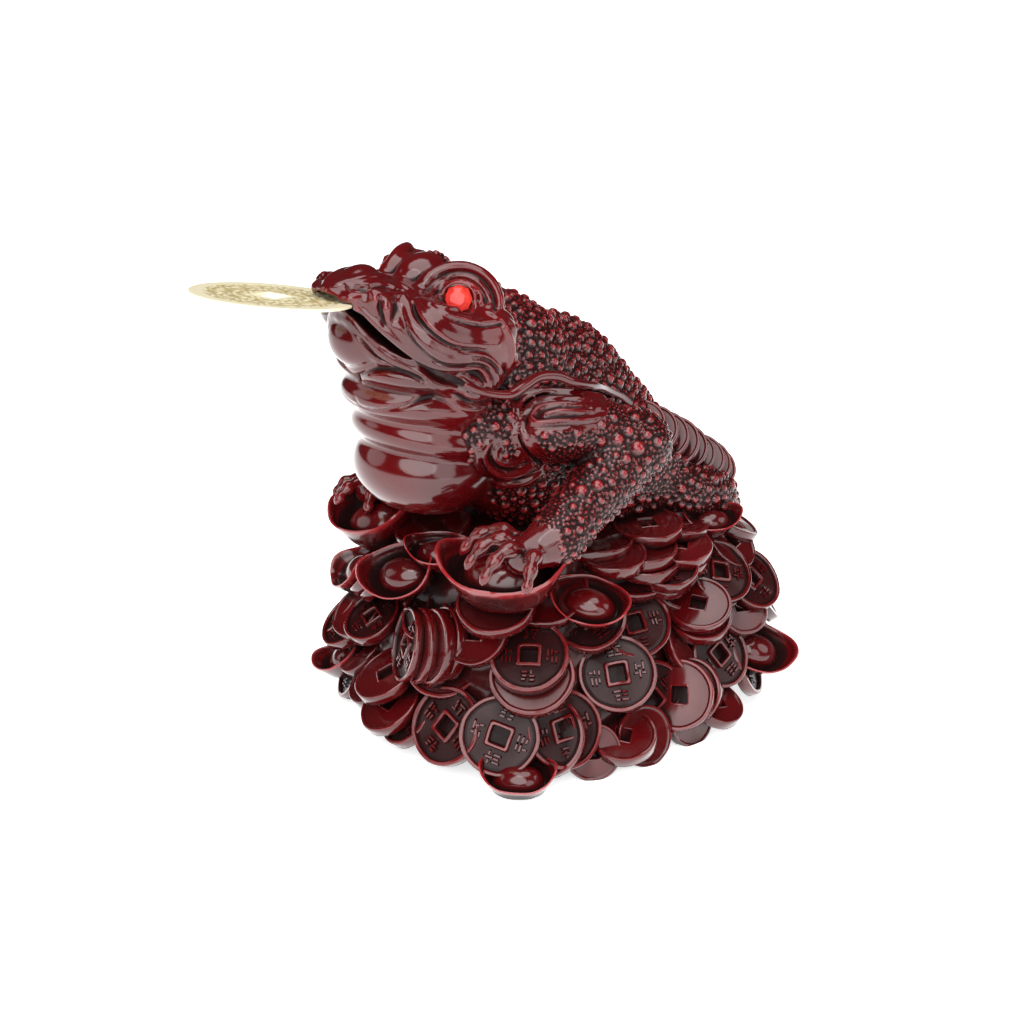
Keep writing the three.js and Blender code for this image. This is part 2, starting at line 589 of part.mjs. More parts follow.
// One pass over the cheapest edges: a fold is made where the mesh stays closed and no facet turns over
function foldPass(points, quadrics, faces, budget) {
  const around = points.map(() => []);
  faces.forEach((face, i) => face.forEach((v) => around[v].push(i)));
  const folds = faces.flatMap(([a, b, c]) => [[a, b], [b, c], [c, a]])
    .filter(([a, b]) => a < b && onUnderside(points[a]) === onUnderside(points[b]))
    .map(([a, b]) => bestFold(points, quadrics, a, b))
    .sort((one, other) => one.cost - other.cost);
  const busy = new Uint8Array(points.length);
  const gone = new Uint8Array(faces.length);
  let count = faces.length;
  for (const { a, b, target } of folds.slice(0, Math.ceil(folds.length / 4))) {
    if (count <= budget) {
      break;
    }
    const ringOfVertex = (v) => new Set(around[v].flatMap((i) => faces[i]));
    const [ringA, ringB] = [ringOfVertex(a), ringOfVertex(b)];
    const shared = [...ringA].filter((v) => ringB.has(v)).length;
    const free = [...ringA, ...ringB].every((v) => !busy[v]);
    if (!free || shared !== 4) {
      continue;
    }
    const turns = [[a, b], [b, a]].some(([moved, other]) => around[moved]
      .some((i) => !faces[i].includes(other) && !keepsItsWay(points, faces[i], moved, target)));
    if (turns) {
      continue;
    }
    points[a] = target.clone();
    quadrics[a] = quadrics[a].map((value, i) => value + quadrics[b][i]);
    around[b].forEach((i) => {
      gone[i] = faces[i].includes(a) ? 1 : 0;
      faces[i] = faces[i].map((v) => (v === b ? a : v));
    });
    [...ringA, ...ringB].forEach((v) => {
      busy[v] = 1;
    });
    count -= 2;
  }
  return faces.filter((_, i) => !gone[i]);
}

function folded(geometry, budget) {
  const { points, faces } = pointsAndFaces(geometry);
  const quadrics = points.map(() => new Array(10).fill(0));
  faces.forEach(([a, b, c]) => {
    const quadric = planeQuadric(points[a], points[b], points[c]);
    [a, b, c].forEach((v) => quadric.forEach((value, i) => {
      quadrics[v][i] += value;
    }));
  });
  let left = faces;
  let before = 0;
  while (left.length > budget && left.length !== before) {
    before = left.length;
    left = foldPass(points, quadrics, left, budget);
  }
  return geometryFrom(points, left);
}

// Corners at one place that belong to different stretches of the surface are drawn apart, so that
// two stretches never share an edge
function drawnApart(geometry) {
  const { points, faces } = pointsAndFaces(geometry);
  const outward = points.map(() => new THREE.Vector3());
  faces.forEach(([a, b, c]) => {
    const normal = points[b].clone().sub(points[a]).cross(points[c].clone().sub(points[a]));
    [a, b, c].forEach((v) => outward[v].add(normal));
  });
  const places = points.map((p) => p.toArray().map((value) => Math.round(value / TOUCH_GAP)).join(' '));
  const shared = new Map();
  places.forEach((place) => shared.set(place, (shared.get(place) ?? 0) + 1));
  const moved = points.map((p, i) => (shared.get(places[i]) > 1
    ? p.clone().addScaledVector(outward[i].normalize(), -TOUCH_GAP)
    : p));
  return geometryFrom(moved, faces);
}

// Placing on the heap

function heapPoint(bearing, height, reach) {
  const way = bearingVector(bearing);
  const halfX = HEAP.halfX - HEAP.leanX * height;
  const halfY = HEAP.halfY - HEAP.leanY * height;
  const span = Math.abs(way.x / halfX) ** HEAP.squareness + Math.abs(way.y / halfY) ** HEAP.squareness;
  const out = span ** (-1 / HEAP.squareness) + reach;
  return new THREE.Vector3(way.x * out, HEAP.middleY + way.y * out, height);
}

// The move that puts a piece with its face on local Z at a place, looking the way it should
function placement({ bearing, height, reach, face, turn = 0 }) {
  const at = heapPoint(bearing, height, reach);
  const look = bearingVector(face[0], face[1]);
  const side = new THREE.Vector3(0, 0, 1).cross(look).normalize();
  const up = look.clone().cross(side);
  const frame = new THREE.Matrix4().makeBasis(side, up, look).setPosition(at);
  return frame.multiply(new THREE.Matrix4().makeRotationZ(THREE.MathUtils.degToRad(turn)));
}

function tierRows() {
  const coins = [];
  const ingots = [];
  TIERS.forEach((tier, t) => {
    const step = 360 / tier.coins;
    for (let i = 0; i < tier.coins; i += 1) {
      const seed = 31 * t + i + 1;
      const bearing = LAID_STRETCH[0] + step * (i + 0.5 * (t % 2) + TIER_JITTER * stray(seed));
      const covered = bearing < LAID_STRETCH[1];
      if (covered && i % 2 === 1 && tier.lift < FLAT_LIFT) {
        continue;
      }
      const ingot = !covered && seed % INGOT_EVERY === 0;
      const row = {
        bearing,
        height: tier.height + (covered ? TIER_RAISE : 0) + 1.6 * stray(seed + 0.3),
        reach: tier.reach + (covered ? TIER_DEPTH : 0) + 0.8 * stray(seed + 0.6),
        face: [bearing + TIER_TURN * stray(seed + 0.1), tier.lift + 12 * stray(seed + 0.2)],
        radius: TIER_RADIUS * (1 + 0.1 * stray(seed + 0.4)),
        turn: 40 * stray(seed + 0.5),
      };
      (ingot ? ingots : coins).push(row);
    }
  });
  return { coins, ingots };
}

// Sub-parts

function heapCore() {
  return ringSolid(HEAP_LEVELS.map((height) => ringOf(HEAP_SIDES, (a) => {
    const bearing = THREE.MathUtils.radToDeg(a);
    const inset = THREE.MathUtils.mapLinear(Math.min(height, HEAP.footHeight), 0, HEAP.footHeight,
      HEAP.foot, HEAP.inset);
    return heapPoint(bearing, height, -inset);
  })));
}

function heapPieces() {
  const tiers = tierRows();
  const coins = [...LAID_COINS, ...tiers.coins].map((row) => geometryOf(castCoin(row))
    .applyMatrix4(placement(row)));
  const ingots = [...LAID_INGOTS,
    ...tiers.ingots].map((row) => castIngot(row.radius).applyMatrix4(placement(row)));
  return [...coins, ...ingots];
}

function stringCoins() {
  return bothSides([{ ...STRING, both: true }], mirroredPath).flatMap((row) => {
    const curve = curveThrough(row.points);
    return Array.from({ length: row.coins }, (_, i) => {
      const t = i / (row.coins - 1);
      const way = curve.getTangentAt(t).negate();
      const side = Math.sign(row.points[0][0]);
      const out = new THREE.Vector3(side, 0, 0.9).normalize();
      const look = way.multiplyScalar(Math.cos(THREE.MathUtils.degToRad(row.lean)))
        .addScaledVector(out, Math.sin(THREE.MathUtils.degToRad(row.lean))).normalize();
      const across = new THREE.Vector3(0, 0, 1).cross(look).normalize();
      const frame = new THREE.Matrix4().makeBasis(across, look.clone().cross(across),
        look).setPosition(curve.getPointAt(t));
      return new THREE.CylinderGeometry(row.radius, row.radius, row.thickness, PLAIN_COIN_SIDES)
        .rotateX(Math.PI / 2).applyMatrix4(frame);
    });
  });
}

// A curved wedge that opens the mouth between the lips, wide enough for the brass coin
function mouthCutter() {
  const half = curveThrough(SLIT.points);
  const steps = 12;
  const rings = [];
  for (let s = -steps; s <= steps; s += 1) {
    const t = Math.abs(s) / steps;
    const p = half.getPointAt(t);
    p.x *= Math.sign(s) || 1;
    const inward = new THREE.Vector3(-p.x, 20 + 0.2 * p.y, 0).normalize()
      .multiplyScalar(SLIT.depth * (1 - 0.5 * t));
    const outward = inward.clone().normalize().multiplyScalar(-SLIT.reach);
    const h = threeStep(SLIT.heights, t) / 2;
    rings.push([
      new THREE.Vector3(p.x + outward.x, p.y + outward.y, p.z - h),
      new THREE.Vector3(p.x + outward.x, p.y + outward.y, p.z + h),
      new THREE.Vector3(p.x + inward.x, p.y + inward.y, p.z + 0.7 * h),
      new THREE.Vector3(p.x + inward.x, p.y + inward.y, p.z - 0.7 * h),
    ]);
  }
  return ringSolid(rings);
}

function brassFrame() {
  const look = new THREE.Vector3(...BRASS_PLACE.face).normalize();
  const side = new THREE.Vector3(0, 1, 0).cross(look).normalize();
  return new THREE.Matrix4().makeBasis(side, look.clone().cross(side), look)
    .setPosition(new THREE.Vector3(...BRASS_PLACE.at).multiplyScalar(GROWTH));
}

// The room that the brass coin takes up in the mouth, with its clearance
function brassRoom() {
  const disc = new THREE.CylinderGeometry(BRASS_DIAMETER / 2 + FIT_GAP, BRASS_DIAMETER / 2 + FIT_GAP,
    BRASS_THICKNESS + 2 * FIT_GAP, BRASS_SIDES).rotateX(Math.PI / 2);
  return solid(disc.applyMatrix4(brassFrame()));
}

function brassCoin() {
  const radius = BRASS_DIAMETER / 2;
  const half = BRASS_THICKNESS / 2;
  const inner = radius - BRASS_RIM;
  const field = half - BRASS_FIELD_DROP;
  const level = (r, z) => ringOf(BRASS_SIDES, (a) => new THREE.Vector3(
    r * Math.cos(a),
    r * Math.sin(a),
    z,
  ));
  const body = solid(ringSolid([
    level(inner, -field),
    level(inner, -half),
    level(radius, -half),
    level(radius, half),
    level(inner, half),
    level(inner, field),
  ]));
  const hole = solid(new THREE.BoxGeometry(BRASS_HOLE, BRASS_HOLE, 2 * BRASS_THICKNESS)
    .rotateZ(THREE.MathUtils.degToRad(BRASS_PLACE.spin)));
  return geometryOf(body.subtract(hole)).applyMatrix4(brassFrame());
}

function gemFrame(sign) {
  const look = bearingVector(sign * GEM_PLACE.bearing, GEM_PLACE.lift);
  const side = new THREE.Vector3(0, 0, 1).cross(look).normalize();
  const [x, y, z] = GEM_PLACE.at;
  return new THREE.Matrix4().makeBasis(side, look.clone().cross(side), look)
    .setPosition(new THREE.Vector3(sign * x, y, z).multiplyScalar(GROWTH));
}

// A cut gem: table, crown, girdle and pointed pavilion, eight-sided; grown by the gap it cuts its own seat
function gemShape(gap) {
  const sides = 8;
  const r = GEM_WIDTH / 2 + gap;
  const crown = 0.42 * GEM_HEIGHT + gap;
  const pavilion = 0.58 * GEM_HEIGHT + gap;
  const level = (share, z, shift) => ringOf(sides, (a) => new THREE.Vector3(
    share * r * Math.cos(a + shift),
    share * r * Math.sin(a + shift),
    z,
  ));
  const half = Math.PI / sides;
  return ringSolid([
    level(0.3, -pavilion, 0),
    level(1, 0, 0),
    level(0.85, 0.55 * crown, half),
    level(0.55, crown, half),
  ]);
}

// Where folded facets cross one another a single cut leaves slivers, so the room is cut twice
function cleared(body, room) {
  return body.subtract(room).subtract(room);
}

// The figure

function resinFigure() {
  const head = skinClay(clayOf(HEAD_MASSES, []), [-26, -62, 50], [26, 0, 112], HEAD_CELL);
  const body = skinClay(clayOf(BODY_MASSES, BODY_LIMBS), [-46, -46, 26], [46, 62, 96], BODY_CELL);
  const ropes = bothSides([...HEAD_RIDGES, CORD, ...TOES], mirroredPath).map((row) => rope(row));
  const clay = [head, body, ...ropes, ...stringCoins()].map(solid);
  const heap = [heapCore(), ...heapPieces()].map(solid);
  const below = solid(new THREE.BoxGeometry(GROUND, GROUND, GROUND).translate(0, 0, -GROUND / 2));
  const toad = folded(geometryOf(joined(clay).subtract(solid(mouthCutter()))), TOAD_FACETS);
  const whole = solid(toad).add(joined(heap)).subtract(below);
  const shell = folded(outerShell(geometryOf(whole)), FIGURE_FACETS);
  const grown = solid(shell.scale(GROWTH, GROWTH, GROWTH));
  const seats = [1, -1].map((sign) => solid(gemShape(FIT_GAP).applyMatrix4(gemFrame(sign))));
  return drawnApart(geometryOf(cleared(cleared(grown, brassRoom()), joined(seats))));
}

function resinMaterial() {
  return new THREE.MeshStandardMaterial({ name: 'dark red resin', color: 0x6b0f16, roughness: 0.25,
    metalness: 0 });
}

function brassMaterial() {
  return new THREE.MeshStandardMaterial({ name: 'pale brass', color: 0xcdb878, roughness: 0.35,
    metalness: 1 });
}

function gemMaterial() {
  return new THREE.MeshStandardMaterial({ name: 'red gem', color: 0xe0202a, roughness: 0.1, metalness: 0 });
}

function namedMesh(name, geometry, material) {
  const flat = geometry.index ? geometry.toNonIndexed() : geometry;
  flat.computeVertexNormals();
  const mesh = new THREE.Mesh(flat, material);
  mesh.name = name;
  return mesh;
}

function moneyToad() {
  const group = new THREE.Group();
  group.name = 'money_toad_figure';
  group.add(namedMesh('resin_figure', resinFigure(), resinMaterial()));
  group.add(namedMesh('brass_coin', brassCoin(), brassMaterial()));
  group.add(namedMesh('left_gem_eye', gemShape(0).applyMatrix4(gemFrame(1)), gemMaterial()));
  group.add(namedMesh('right_gem_eye', gemShape(0).applyMatrix4(gemFrame(-1)), gemMaterial()));
  return group;
}

export default moneyToad();
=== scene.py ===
"""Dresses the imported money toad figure: carved toad, heap of coins and ingots, brass coin, gem eyes."""

import math
from itertools import product

import bmesh
import bpy
import numpy as np
from mathutils import Matrix, Vector
from mathutils.kdtree import KDTree


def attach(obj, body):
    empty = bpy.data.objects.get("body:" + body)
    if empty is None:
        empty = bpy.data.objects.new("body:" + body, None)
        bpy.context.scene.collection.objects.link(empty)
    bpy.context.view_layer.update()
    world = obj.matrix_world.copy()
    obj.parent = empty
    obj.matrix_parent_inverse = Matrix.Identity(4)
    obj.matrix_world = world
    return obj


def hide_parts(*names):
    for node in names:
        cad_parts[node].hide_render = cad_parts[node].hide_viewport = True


bl_info = {
    "name": "Money toad figure",
    "version": (1, 0, 0),
    "blender": (4, 5, 0),
    "location": "View3D > Sidebar > Toad",
    "description": "Builds the carved toad, its heap of coins and ingots, the brass coin and the stage",
    "category": "Object",
}

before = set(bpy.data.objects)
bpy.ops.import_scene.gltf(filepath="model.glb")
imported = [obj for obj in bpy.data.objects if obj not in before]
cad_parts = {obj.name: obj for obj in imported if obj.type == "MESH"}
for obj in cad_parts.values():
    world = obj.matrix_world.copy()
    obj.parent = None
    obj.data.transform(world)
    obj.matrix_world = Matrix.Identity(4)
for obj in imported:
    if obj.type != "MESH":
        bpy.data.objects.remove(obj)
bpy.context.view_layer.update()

MM = 0.001
CASTING_NODE = "resin_figure"
BRASS_NODE = "brass_coin"
GEM_NODES = ("left_gem_eye", "right_gem_eye")
BODY = "root"

# Sizes in millimetres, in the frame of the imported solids
HEAD_CELL = 0.3
HEAD_BOX = ((-26, -61, 50), (26, -12, 108))
BODY_CELL = 0.34
BODY_BOX = ((-44, -47, 26), (44, 56, 98))
ROOM_CELL = 1.0
ROOM_BOX = ((-50, -66, -4), (50, 62, 112))
COIN_THICKNESS = 2.5
BRASS_DIAMETER = 31.2
BRASS_THICKNESS = 0.6
BRASS_HOLE = 5.6
BRASS_RIM = 2.6
BRASS_BEVEL = 0.12
BRASS_GAP = 0.12
GROUND_CLEARANCE = 0.02
FLOOR_HALF = 4000

# How softly one shape melts into the next, in millimetres
EDGE_SOFTNESS = 0.4
STRAND_SOFTNESS = 0.5
LID_SOFTNESS = 0.25
GROOVE_SOFTNESS = 0.3
MOUTH_SOFTNESS = 0.2
BED_SOFTNESS = 0.1

# Counts and shares
LINE_GAIN = 1.2
LINE_POINTS = 36
MOUTH_POINTS = 50
LID_POINTS = 33
TOE_POINTS = 18
SKIN_TRIANGLES = 192000
COIN_SEGMENTS = 40
INGOT_SEGMENTS = 48
BRASS_SIDES = 240
BRASS_STEPS = 56
CORD_SIDES = 20
CORD_POINT_COUNT = 90
FRAMED_PATTERNS = 3
HEAP_SIDES = 144
HEAP_LEVELS = 34

# Angles in degrees above which an edge is drawn sharp
COIN_SHARP = 32
CAST_SHARP = 50
BRASS_SHARP = 40

# Factors that turn a seed or a place into a value that looks random
MIX_FACTORS = (12.9898, 78.233, 37.719)
MIX_GAIN = 43758.5453

# Masses of the body: centre, half axes, turn about X Y Z in degrees, softness of the joint, both sides
BODY_MASSES = (
    ((0, 2, 57), (20, 28, 21), (-36, 0, 0), 0, False),
    ((0, -14, 68), (19, 16, 19), (-20, 0, 0), 6, False),
    ((0, -14, 81), (14, 12, 10), (-30, 0, 0), 5, False),
    ((0, -18, 82.6), (15.4, 13, 12), (-30, 0, 0), 4, False),
    ((0, 25, 48), (13, 13, 11), (-30, 0, 0), 6, False),
    ((12.5, 12, 53), (8.5, 16, 10.5), (-30, 0, 0), 5, True),
    ((20, -13.4, 70.2), (8, 12.6, 6.8), (-6, 0, 4), 2, True),
    ((13, -25.4, 68.6), (6.2, 11, 8), (-30, 0, 0), 1.5, True),
    ((18, 24, 46.5), (6.5, 12, 6), (-20, 0, 0), 2, True),
    ((0, 1, 74), (12, 15, 11), (-38, 0, 0), 5, False),
)

# Limbs: from, to, two radii, softness of the joint, both sides
BODY_LIMBS = (
    ((21, -13, 70.5), (27, -1.5, 65.5), (6.4, 6.6), 2, True),
    ((27, -1.5, 65.5), (31, -26, 53.5), (6.8, 5.2), 1.2, False),
    ((31, -26, 53), (30, -34, 51), (5, 3.6), 2, False),
    ((-31, 1, 62), (-27, -22, 50), (7, 4.6), 2, False),
    ((-27, -22, 50), (-25.5, -29, 47.5), (4.6, 3.6), 2, False),
    ((0, 30, 45), (0, 41, 38), (8.5, 6), 4, False),
    ((0, 41, 38), (0, 45, 37), (5.5, 4.5), 2, False),
)

HEAD_MASSES = (
    ((0, -29.5, 90.4), (16.6, 13.6, 9.4), (-14, 0, 0), 0, False),
    ((0, -39, 94.6), (14, 13, 6.2), (-22, 0, 0), 2.4, False),
    ((0, -48.6, 99.6), (7.6, 9.2, 4.3), (-12, 0, 0), 2, False),
    ((5.4, -46.6, 95.8), (4, 9, 4.4), (-42, 0, 26), 2.5, True),
    ((0, -48.9, 102.4), (3, 4, 3), (-4, 0, 0), 1.6, False),
    ((12.6, -35.6, 89.4), (7.2, 13.6, 7.8), (-38, 0, 16), 4, True),
    ((15, -30.6, 89.4), (5, 7.6, 7.8), (0, 0, 0), 2, True),
    ((0, -38.5, 87), (17, 20.6, 6.6), (-41, 0, 0), 1, False),
    ((17, -34, 83.4), (3.6, 4.6, 4), (0, 0, 0), 1.5, True),
    ((0, -49.8, 91.2), (6.6, 5.7, 5.8), (0, 0, 0), 0.8, False),
    ((0, -33, 77), (14.6, 13.8, 15), (-6, 0, 0), 1, False),
    ((0, -38.6, 86.8), (14.5, 13.4, 7.4), (-20, 0, 0), 1.5, False),
    ((0, -36.8, 83.4), (16.4, 15, 4.9), (-8, 0, 0), 1.4, False),
    ((0, -35.3, 76.6), (15.8, 16, 5.6), (-10, 0, 0), 2.2, False),
    ((0, -34.3, 68.6), (15, 14.9, 5.6), (-16, 0, 0), 2.2, False),
    ((0, -34, 62), (14.8, 14.6, 10.2), (-8, 0, 0), 1.6, False),
)

# Hollows of the head, as the masses
HEAD_HOLLOWS = (
    ((0, -42.6, 106.6), (12, 2.6, 4.6), (0, 0, 0), 2),
)

# Forms that stand on the head: the lobe of the forehead and the dome of each eye
HEAD_LOBES = (
    ((4.6, -53.8, 100.3), (2.3, 3.2, 1.5), (-22, 0, 20), 1.2, True),
    ((0, -33.9, 100.7), (4.5, 6.3, 4.4), (0, 0, 0), 0.8, False),
    ((7.6, -30.9, 96.4), (8.3, 5.2, 7.2), (-18, 0, 45), 0.8, True),
    ((6, -34.9, 99.3), (2.9, 5.6, 4.5), (0, 0, 0), 1.2, True),
)

# Where the neck is cut back, so that the cheek ends in an edge
NECK_CUT = ((20, -20.4, 90), (5.6, 6, 9))

# The hood over the eye, along its middle
HOOD_LINE = ((5, -39.4, 99.4), (5.1, -38.3, 100.9), (6, -37, 102.3), (7, -35.2, 103.2), (8, -33.2, 103.6),
             (9.4, -30.8, 103.4), (11.2, -29, 102.5), (12.9, -27.8, 100.9), (14.4, -27.4, 98.8),
             (15.6, -27.9, 97.2), (16, -28.6, 95.4))
HOOD_RADII = (0.8, 1.3, 1.4, 1.3, 1.0)

# Carved lines are placed as they are seen, in eighths of a pixel from the head's corner on the picture
HEAD_SHEET = {"corner": (310, 235), "scale": 8}

# Raised lines of the head: places seen, radii from end to end, softness, depth of the middle under the skin
HEAD_RIDGES = (
    (((1430, 622), (1495, 662), (1556, 742), (1604, 850), (1616, 930), (1600, 1020), (1556, 1120)),
     (0.3, 0.6, 0.6, 0.4), 0.3, -0.1),
    # rim inside the hood
    (((945, 485), (1000, 425), (1060, 372), (1140, 335), (1230, 325), (1320, 352), (1400, 425), (1440, 500),
      (1455, 580)), (0.4, 0.5, 0.4), 0.3, 0),
    # rear edge of the cheek plate
    (((1455, 585), (1515, 618), (1540, 682), (1598, 690), (1636, 790), (1655, 900), (1636, 1010),
      (1600, 1100),
      (1575, 1180)), (0.4, 0.6, 0.7, 0.5), 0.5, 0.2),
    # lids under the eye
    (((890, 515), (980, 560), (1080, 588), (1180, 592), (1280, 582), (1380, 565), (1450, 580)),
     (0.4, 0.5, 0.4), 0.3, 0),
    (((905, 535), (1040, 612), (1150, 662), (1280, 694), (1400, 704), (1520, 692)),
      (0.4, 0.7, 0.6), 0.6, 0.2),
    # border of the cheek plate
    (((850, 530), (868, 600), (930, 690), (1010, 770), (1100, 835), (1200, 872), (1350, 882), (1500, 880)),
     (0.5, 0.8, 0.7, 0.3), 0.8, 0.2),
    # fold from the nostril to the curl at the corner of the mouth
    (((740, 462), (780, 560), (795, 660), (840, 770), (905, 850), (985, 925), (1075, 985), (1150, 1008),
      (1240, 1010), (1330, 1000), (1410, 1025), (1470, 1080), (1500, 1160)),
      (0.5, 0.9, 0.8, 0.6, 0.5), 0.8, 0.2),
    (((1180, 965), (1260, 950), (1350, 958), (1430, 985), (1490, 1040), (1528, 1110), (1535, 1200)),
     (0.3, 0.5, 0.5, 0.4), 0.4, 0),
    # upper lip
    (((140, 445), (240, 500), (330, 560), (430, 615), (510, 690), (600, 765), (700, 850), (790, 930),
      (850, 980),
      (950, 1025), (1060, 1058), (1150, 1068), (1240, 1056), (1320, 1060), (1390, 1095), (1435, 1160),
      (1440, 1225)),
     (0.5, 0.7, 0.7, 0.6, 0.5), 0.6, 0.1),
    # lower lip
    (((110, 625), (200, 620), (290, 655), (365, 725), (415, 805), (485, 882), (585, 962), (690, 1022),
      (795, 1062),
      (890, 1120), (990, 1190), (1090, 1268), (1190, 1330), (1300, 1362), (1400, 1370)),
     (0.8, 0.9, 0.8, 0.6), 0.7, 0.2),
    # line under the lower lip
    (((250, 690), (330, 745), (400, 860), (490, 965), (600, 1042), (700, 1080), (830, 1140), (935, 1192)),
     (0.3, 0.45, 0.4), 0.4, 0.1),
    (((1020, 1275), (1110, 1325), (1200, 1375), (1300, 1402), (1420, 1405)), (0.35, 0.6, 0.35), 0.2, 0),
    # crest over the nostril and shelf under it
    (((150, 420), (230, 392), (350, 357), (450, 337), (540, 332), (610, 338), (680, 368), (725, 402),
      (790, 435)), (0.3, 0.5, 0.6, 0.4), 0.6, 0),
    (((330, 470), (420, 477), (480, 457), (530, 452), (575, 485), (640, 480), (700, 465), (740, 462)),
     (0.3, 0.5, 0.4), 0.4, 0.1),
    # drops beside the nostril
    (((612, 520), (605, 590), (618, 680)), (0.6, 1.1, 0.6), 0.8, 0.1),
    (((505, 465), (525, 520), (540, 580)), (0.4, 0.6, 0.3), 0.6, 0.1),
)

# Carved lines of the head, as above
HEAD_GROOVES = (
    (((905, 470), (960, 395), (1030, 335), (1110, 300), (1230, 292), (1340, 324), (1425, 405), (1470, 500),
      (1482, 600)), (0.3, 0.5, 0.4), 0),
    (((1000, 480), (1060, 410), (1140, 368), (1230, 360), (1310, 390), (1370, 450), (1400, 520)),
     (0.3, 0.4, 0.3), 0),
    (((960, 560), (1060, 640), (1160, 688), (1290, 722), (1410, 732), (1530, 714)), (0.2, 0.35, 0.3), 0),
    (((828, 560), (850, 640), (910, 725), (990, 805), (1085, 868), (1200, 905), (1350, 915)),
     (0.3, 0.55, 0.45, 0.2), 0),
    (((700, 560), (730, 660), (780, 790), (850, 880), (940, 962), (1040, 1022), (1140, 1042), (1230, 1034),
      (1330, 1030), (1400, 1054), (1455, 1112), (1475, 1190)), (0.2, 0.35, 0.35, 0.3), 0),
    (((1290, 978), (1370, 985), (1440, 1015), (1495, 1080), (1518, 1160)), (0.25, 0.35, 0.25), 0),
    (((1200, 925), (1300, 920), (1400, 935), (1480, 985), (1545, 1060), (1562, 1150)), (0.2, 0.3, 0.2), 0),
    # the mouth closed, toward its corner
    (((850, 1015), (950, 1080), (1050, 1135), (1150, 1180), (1250, 1235), (1330, 1290)),
     (0.4, 0.9, 1.2, 0.9, 0.4), 0.2),
    (((1180, 1110), (1280, 1100), (1350, 1125), (1390, 1180)), (0.4, 0.8, 0.4), 0.1),
    (((330, 700), (392, 800), (465, 895), (560, 975), (670, 1040), (780, 1085), (900, 1150)),
      (0.2, 0.35, 0.25), 0),
    # crease under the chin and the next one
    (((190, 1010), (300, 1105), (360, 1137), (430, 1117), (500, 1084), (600, 1067), (700, 1084), (830, 1130),
      (925, 1192)), (0.3, 0.6, 0.5, 0.3), 0),
    (((320, 1300), (400, 1372), (500, 1402), (640, 1395), (780, 1362), (870, 1322), (960, 1290)),
     (0.3, 0.5, 0.4), 0),
    # hollow of the nostril
    (((290, 400), (340, 424), (400, 432), (470, 418), (540, 396), (600, 394), (650, 404)),
      (0.3, 0.9, 0.9, 0.5), 0.1),
    (((600, 430), (680, 432), (740, 445)), (0.4, 0.6, 0.4), 0),
    (((560, 520), (560, 600), (600, 720)), (0.3, 0.5, 0.3), 0),
    (((680, 500), (690, 580), (660, 690)), (0.3, 0.5, 0.3), 0),
)

GEM = {"at": (11.7, -34.5, 98.55), "bearing": 42, "lift": 16, "radius": 2.7, "socket": (3.9, 3.9, 3.4),
       "socket_out": 3.2, "bed_out": 1.2, "bed_gap": 0.12,
       "lids": ((4.3, 3.5, 0.45, 0.2), (3.2, 3.0, 0.45, 0.9))}

# The open mouth as it is seen, its half height from the front to its end, and how far it reaches inward
MOUTH_LINE = ((120, 520), (200, 540), (300, 590), (400, 650), (480, 740), (560, 822), (650, 892), (740, 950),
              (835, 992))
MOUTH_RADII = (1.3, 1.25, 1.35, 1.25, 1.05, 0.8, 0.3)
MOUTH_INWARD = (-5, 3, 0.6)
MOUTH_NARROWING = 0.8

# Lines carved on the shoulder and the big warts of the arm, placed as they are seen on a second sheet
ARM_SHEET = {"corner": (470, 370), "scale": 8}
ARM_RIDGES = (
    (((1060, 215), (900, 190), (760, 177), (640, 172), (540, 182), (470, 208), (415, 256), (374, 332),
      (358, 430),
      (380, 540), (430, 640), (490, 720), (535, 768)), (0.5, 0.7, 0.7, 0.5), 0.3, -0.1),
    (((1040, 262), (900, 236), (760, 226), (640, 226), (550, 244), (496, 274), (452, 322), (424, 384),
      (416, 446),
      (434, 530), (478, 612), (540, 684), (600, 736)), (0.4, 0.6, 0.6, 0.4), 0.3, 0),
    (((1060, 306), (900, 282), (760, 270), (650, 274), (570, 296), (516, 334), (492, 380), (504, 420),
      (570, 424),
      (700, 408), (820, 410), (940, 402), (1040, 376)), (0.4, 0.65, 0.65, 0.4), 0.3, 0),
    (((590, 356), (650, 342), (740, 334), (860, 334), (980, 334)), (0.4, 0.7, 0.4), 0.3, 0),
    (((150, 580), (112, 660), (124, 740), (184, 800), (272, 838), (370, 832), (455, 795), (505, 740)),
     (0.5, 0.85, 0.5), 0.3, -0.1),
    (((224, 606), (198, 662), (212, 712), (252, 742), (312, 758), (372, 748)), (0.4, 0.7, 0.4), 0.3, 0),
    (((70, 650), (66, 745), (118, 832), (222, 892), (350, 912), (455, 892), (550, 838)),
      (0.5, 0.8, 0.5), 0.3, 0),
)
ARM_GROOVES = (
    (((1050, 240), (900, 212), (760, 200), (640, 198), (545, 213), (480, 240), (432, 288), (396, 356),
      (384, 440),
      (405, 536), (452, 628), (512, 706), (566, 754)), (0.25, 0.4, 0.4, 0.25), 0),
    (((1000, 276), (880, 258), (760, 248), (650, 250), (565, 268), (512, 300), (474, 350), (448, 400),
      (444, 450),
      (462, 524), (500, 596), (560, 664), (616, 712)), (0.25, 0.4, 0.4, 0.25), 0),
    (((960, 310), (800, 300), (690, 303), (600, 322), (544, 352), (534, 386), (580, 392), (660, 378),
      (780, 372),
      (900, 370), (1010, 352)), (0.3, 0.5, 0.3), 0),
    (((1010, 424), (880, 440), (760, 440), (640, 450), (550, 464), (480, 462)), (0.3, 0.5, 0.3), 0),
    (((186, 600), (154, 660), (168, 722), (216, 768), (288, 800), (366, 794), (436, 760), (476, 722)),
     (0.3, 0.5, 0.3), 0),
    (((92, 700), (136, 784), (220, 846), (320, 876), (420, 862), (505, 816)), (0.3, 0.5, 0.3), 0),
)
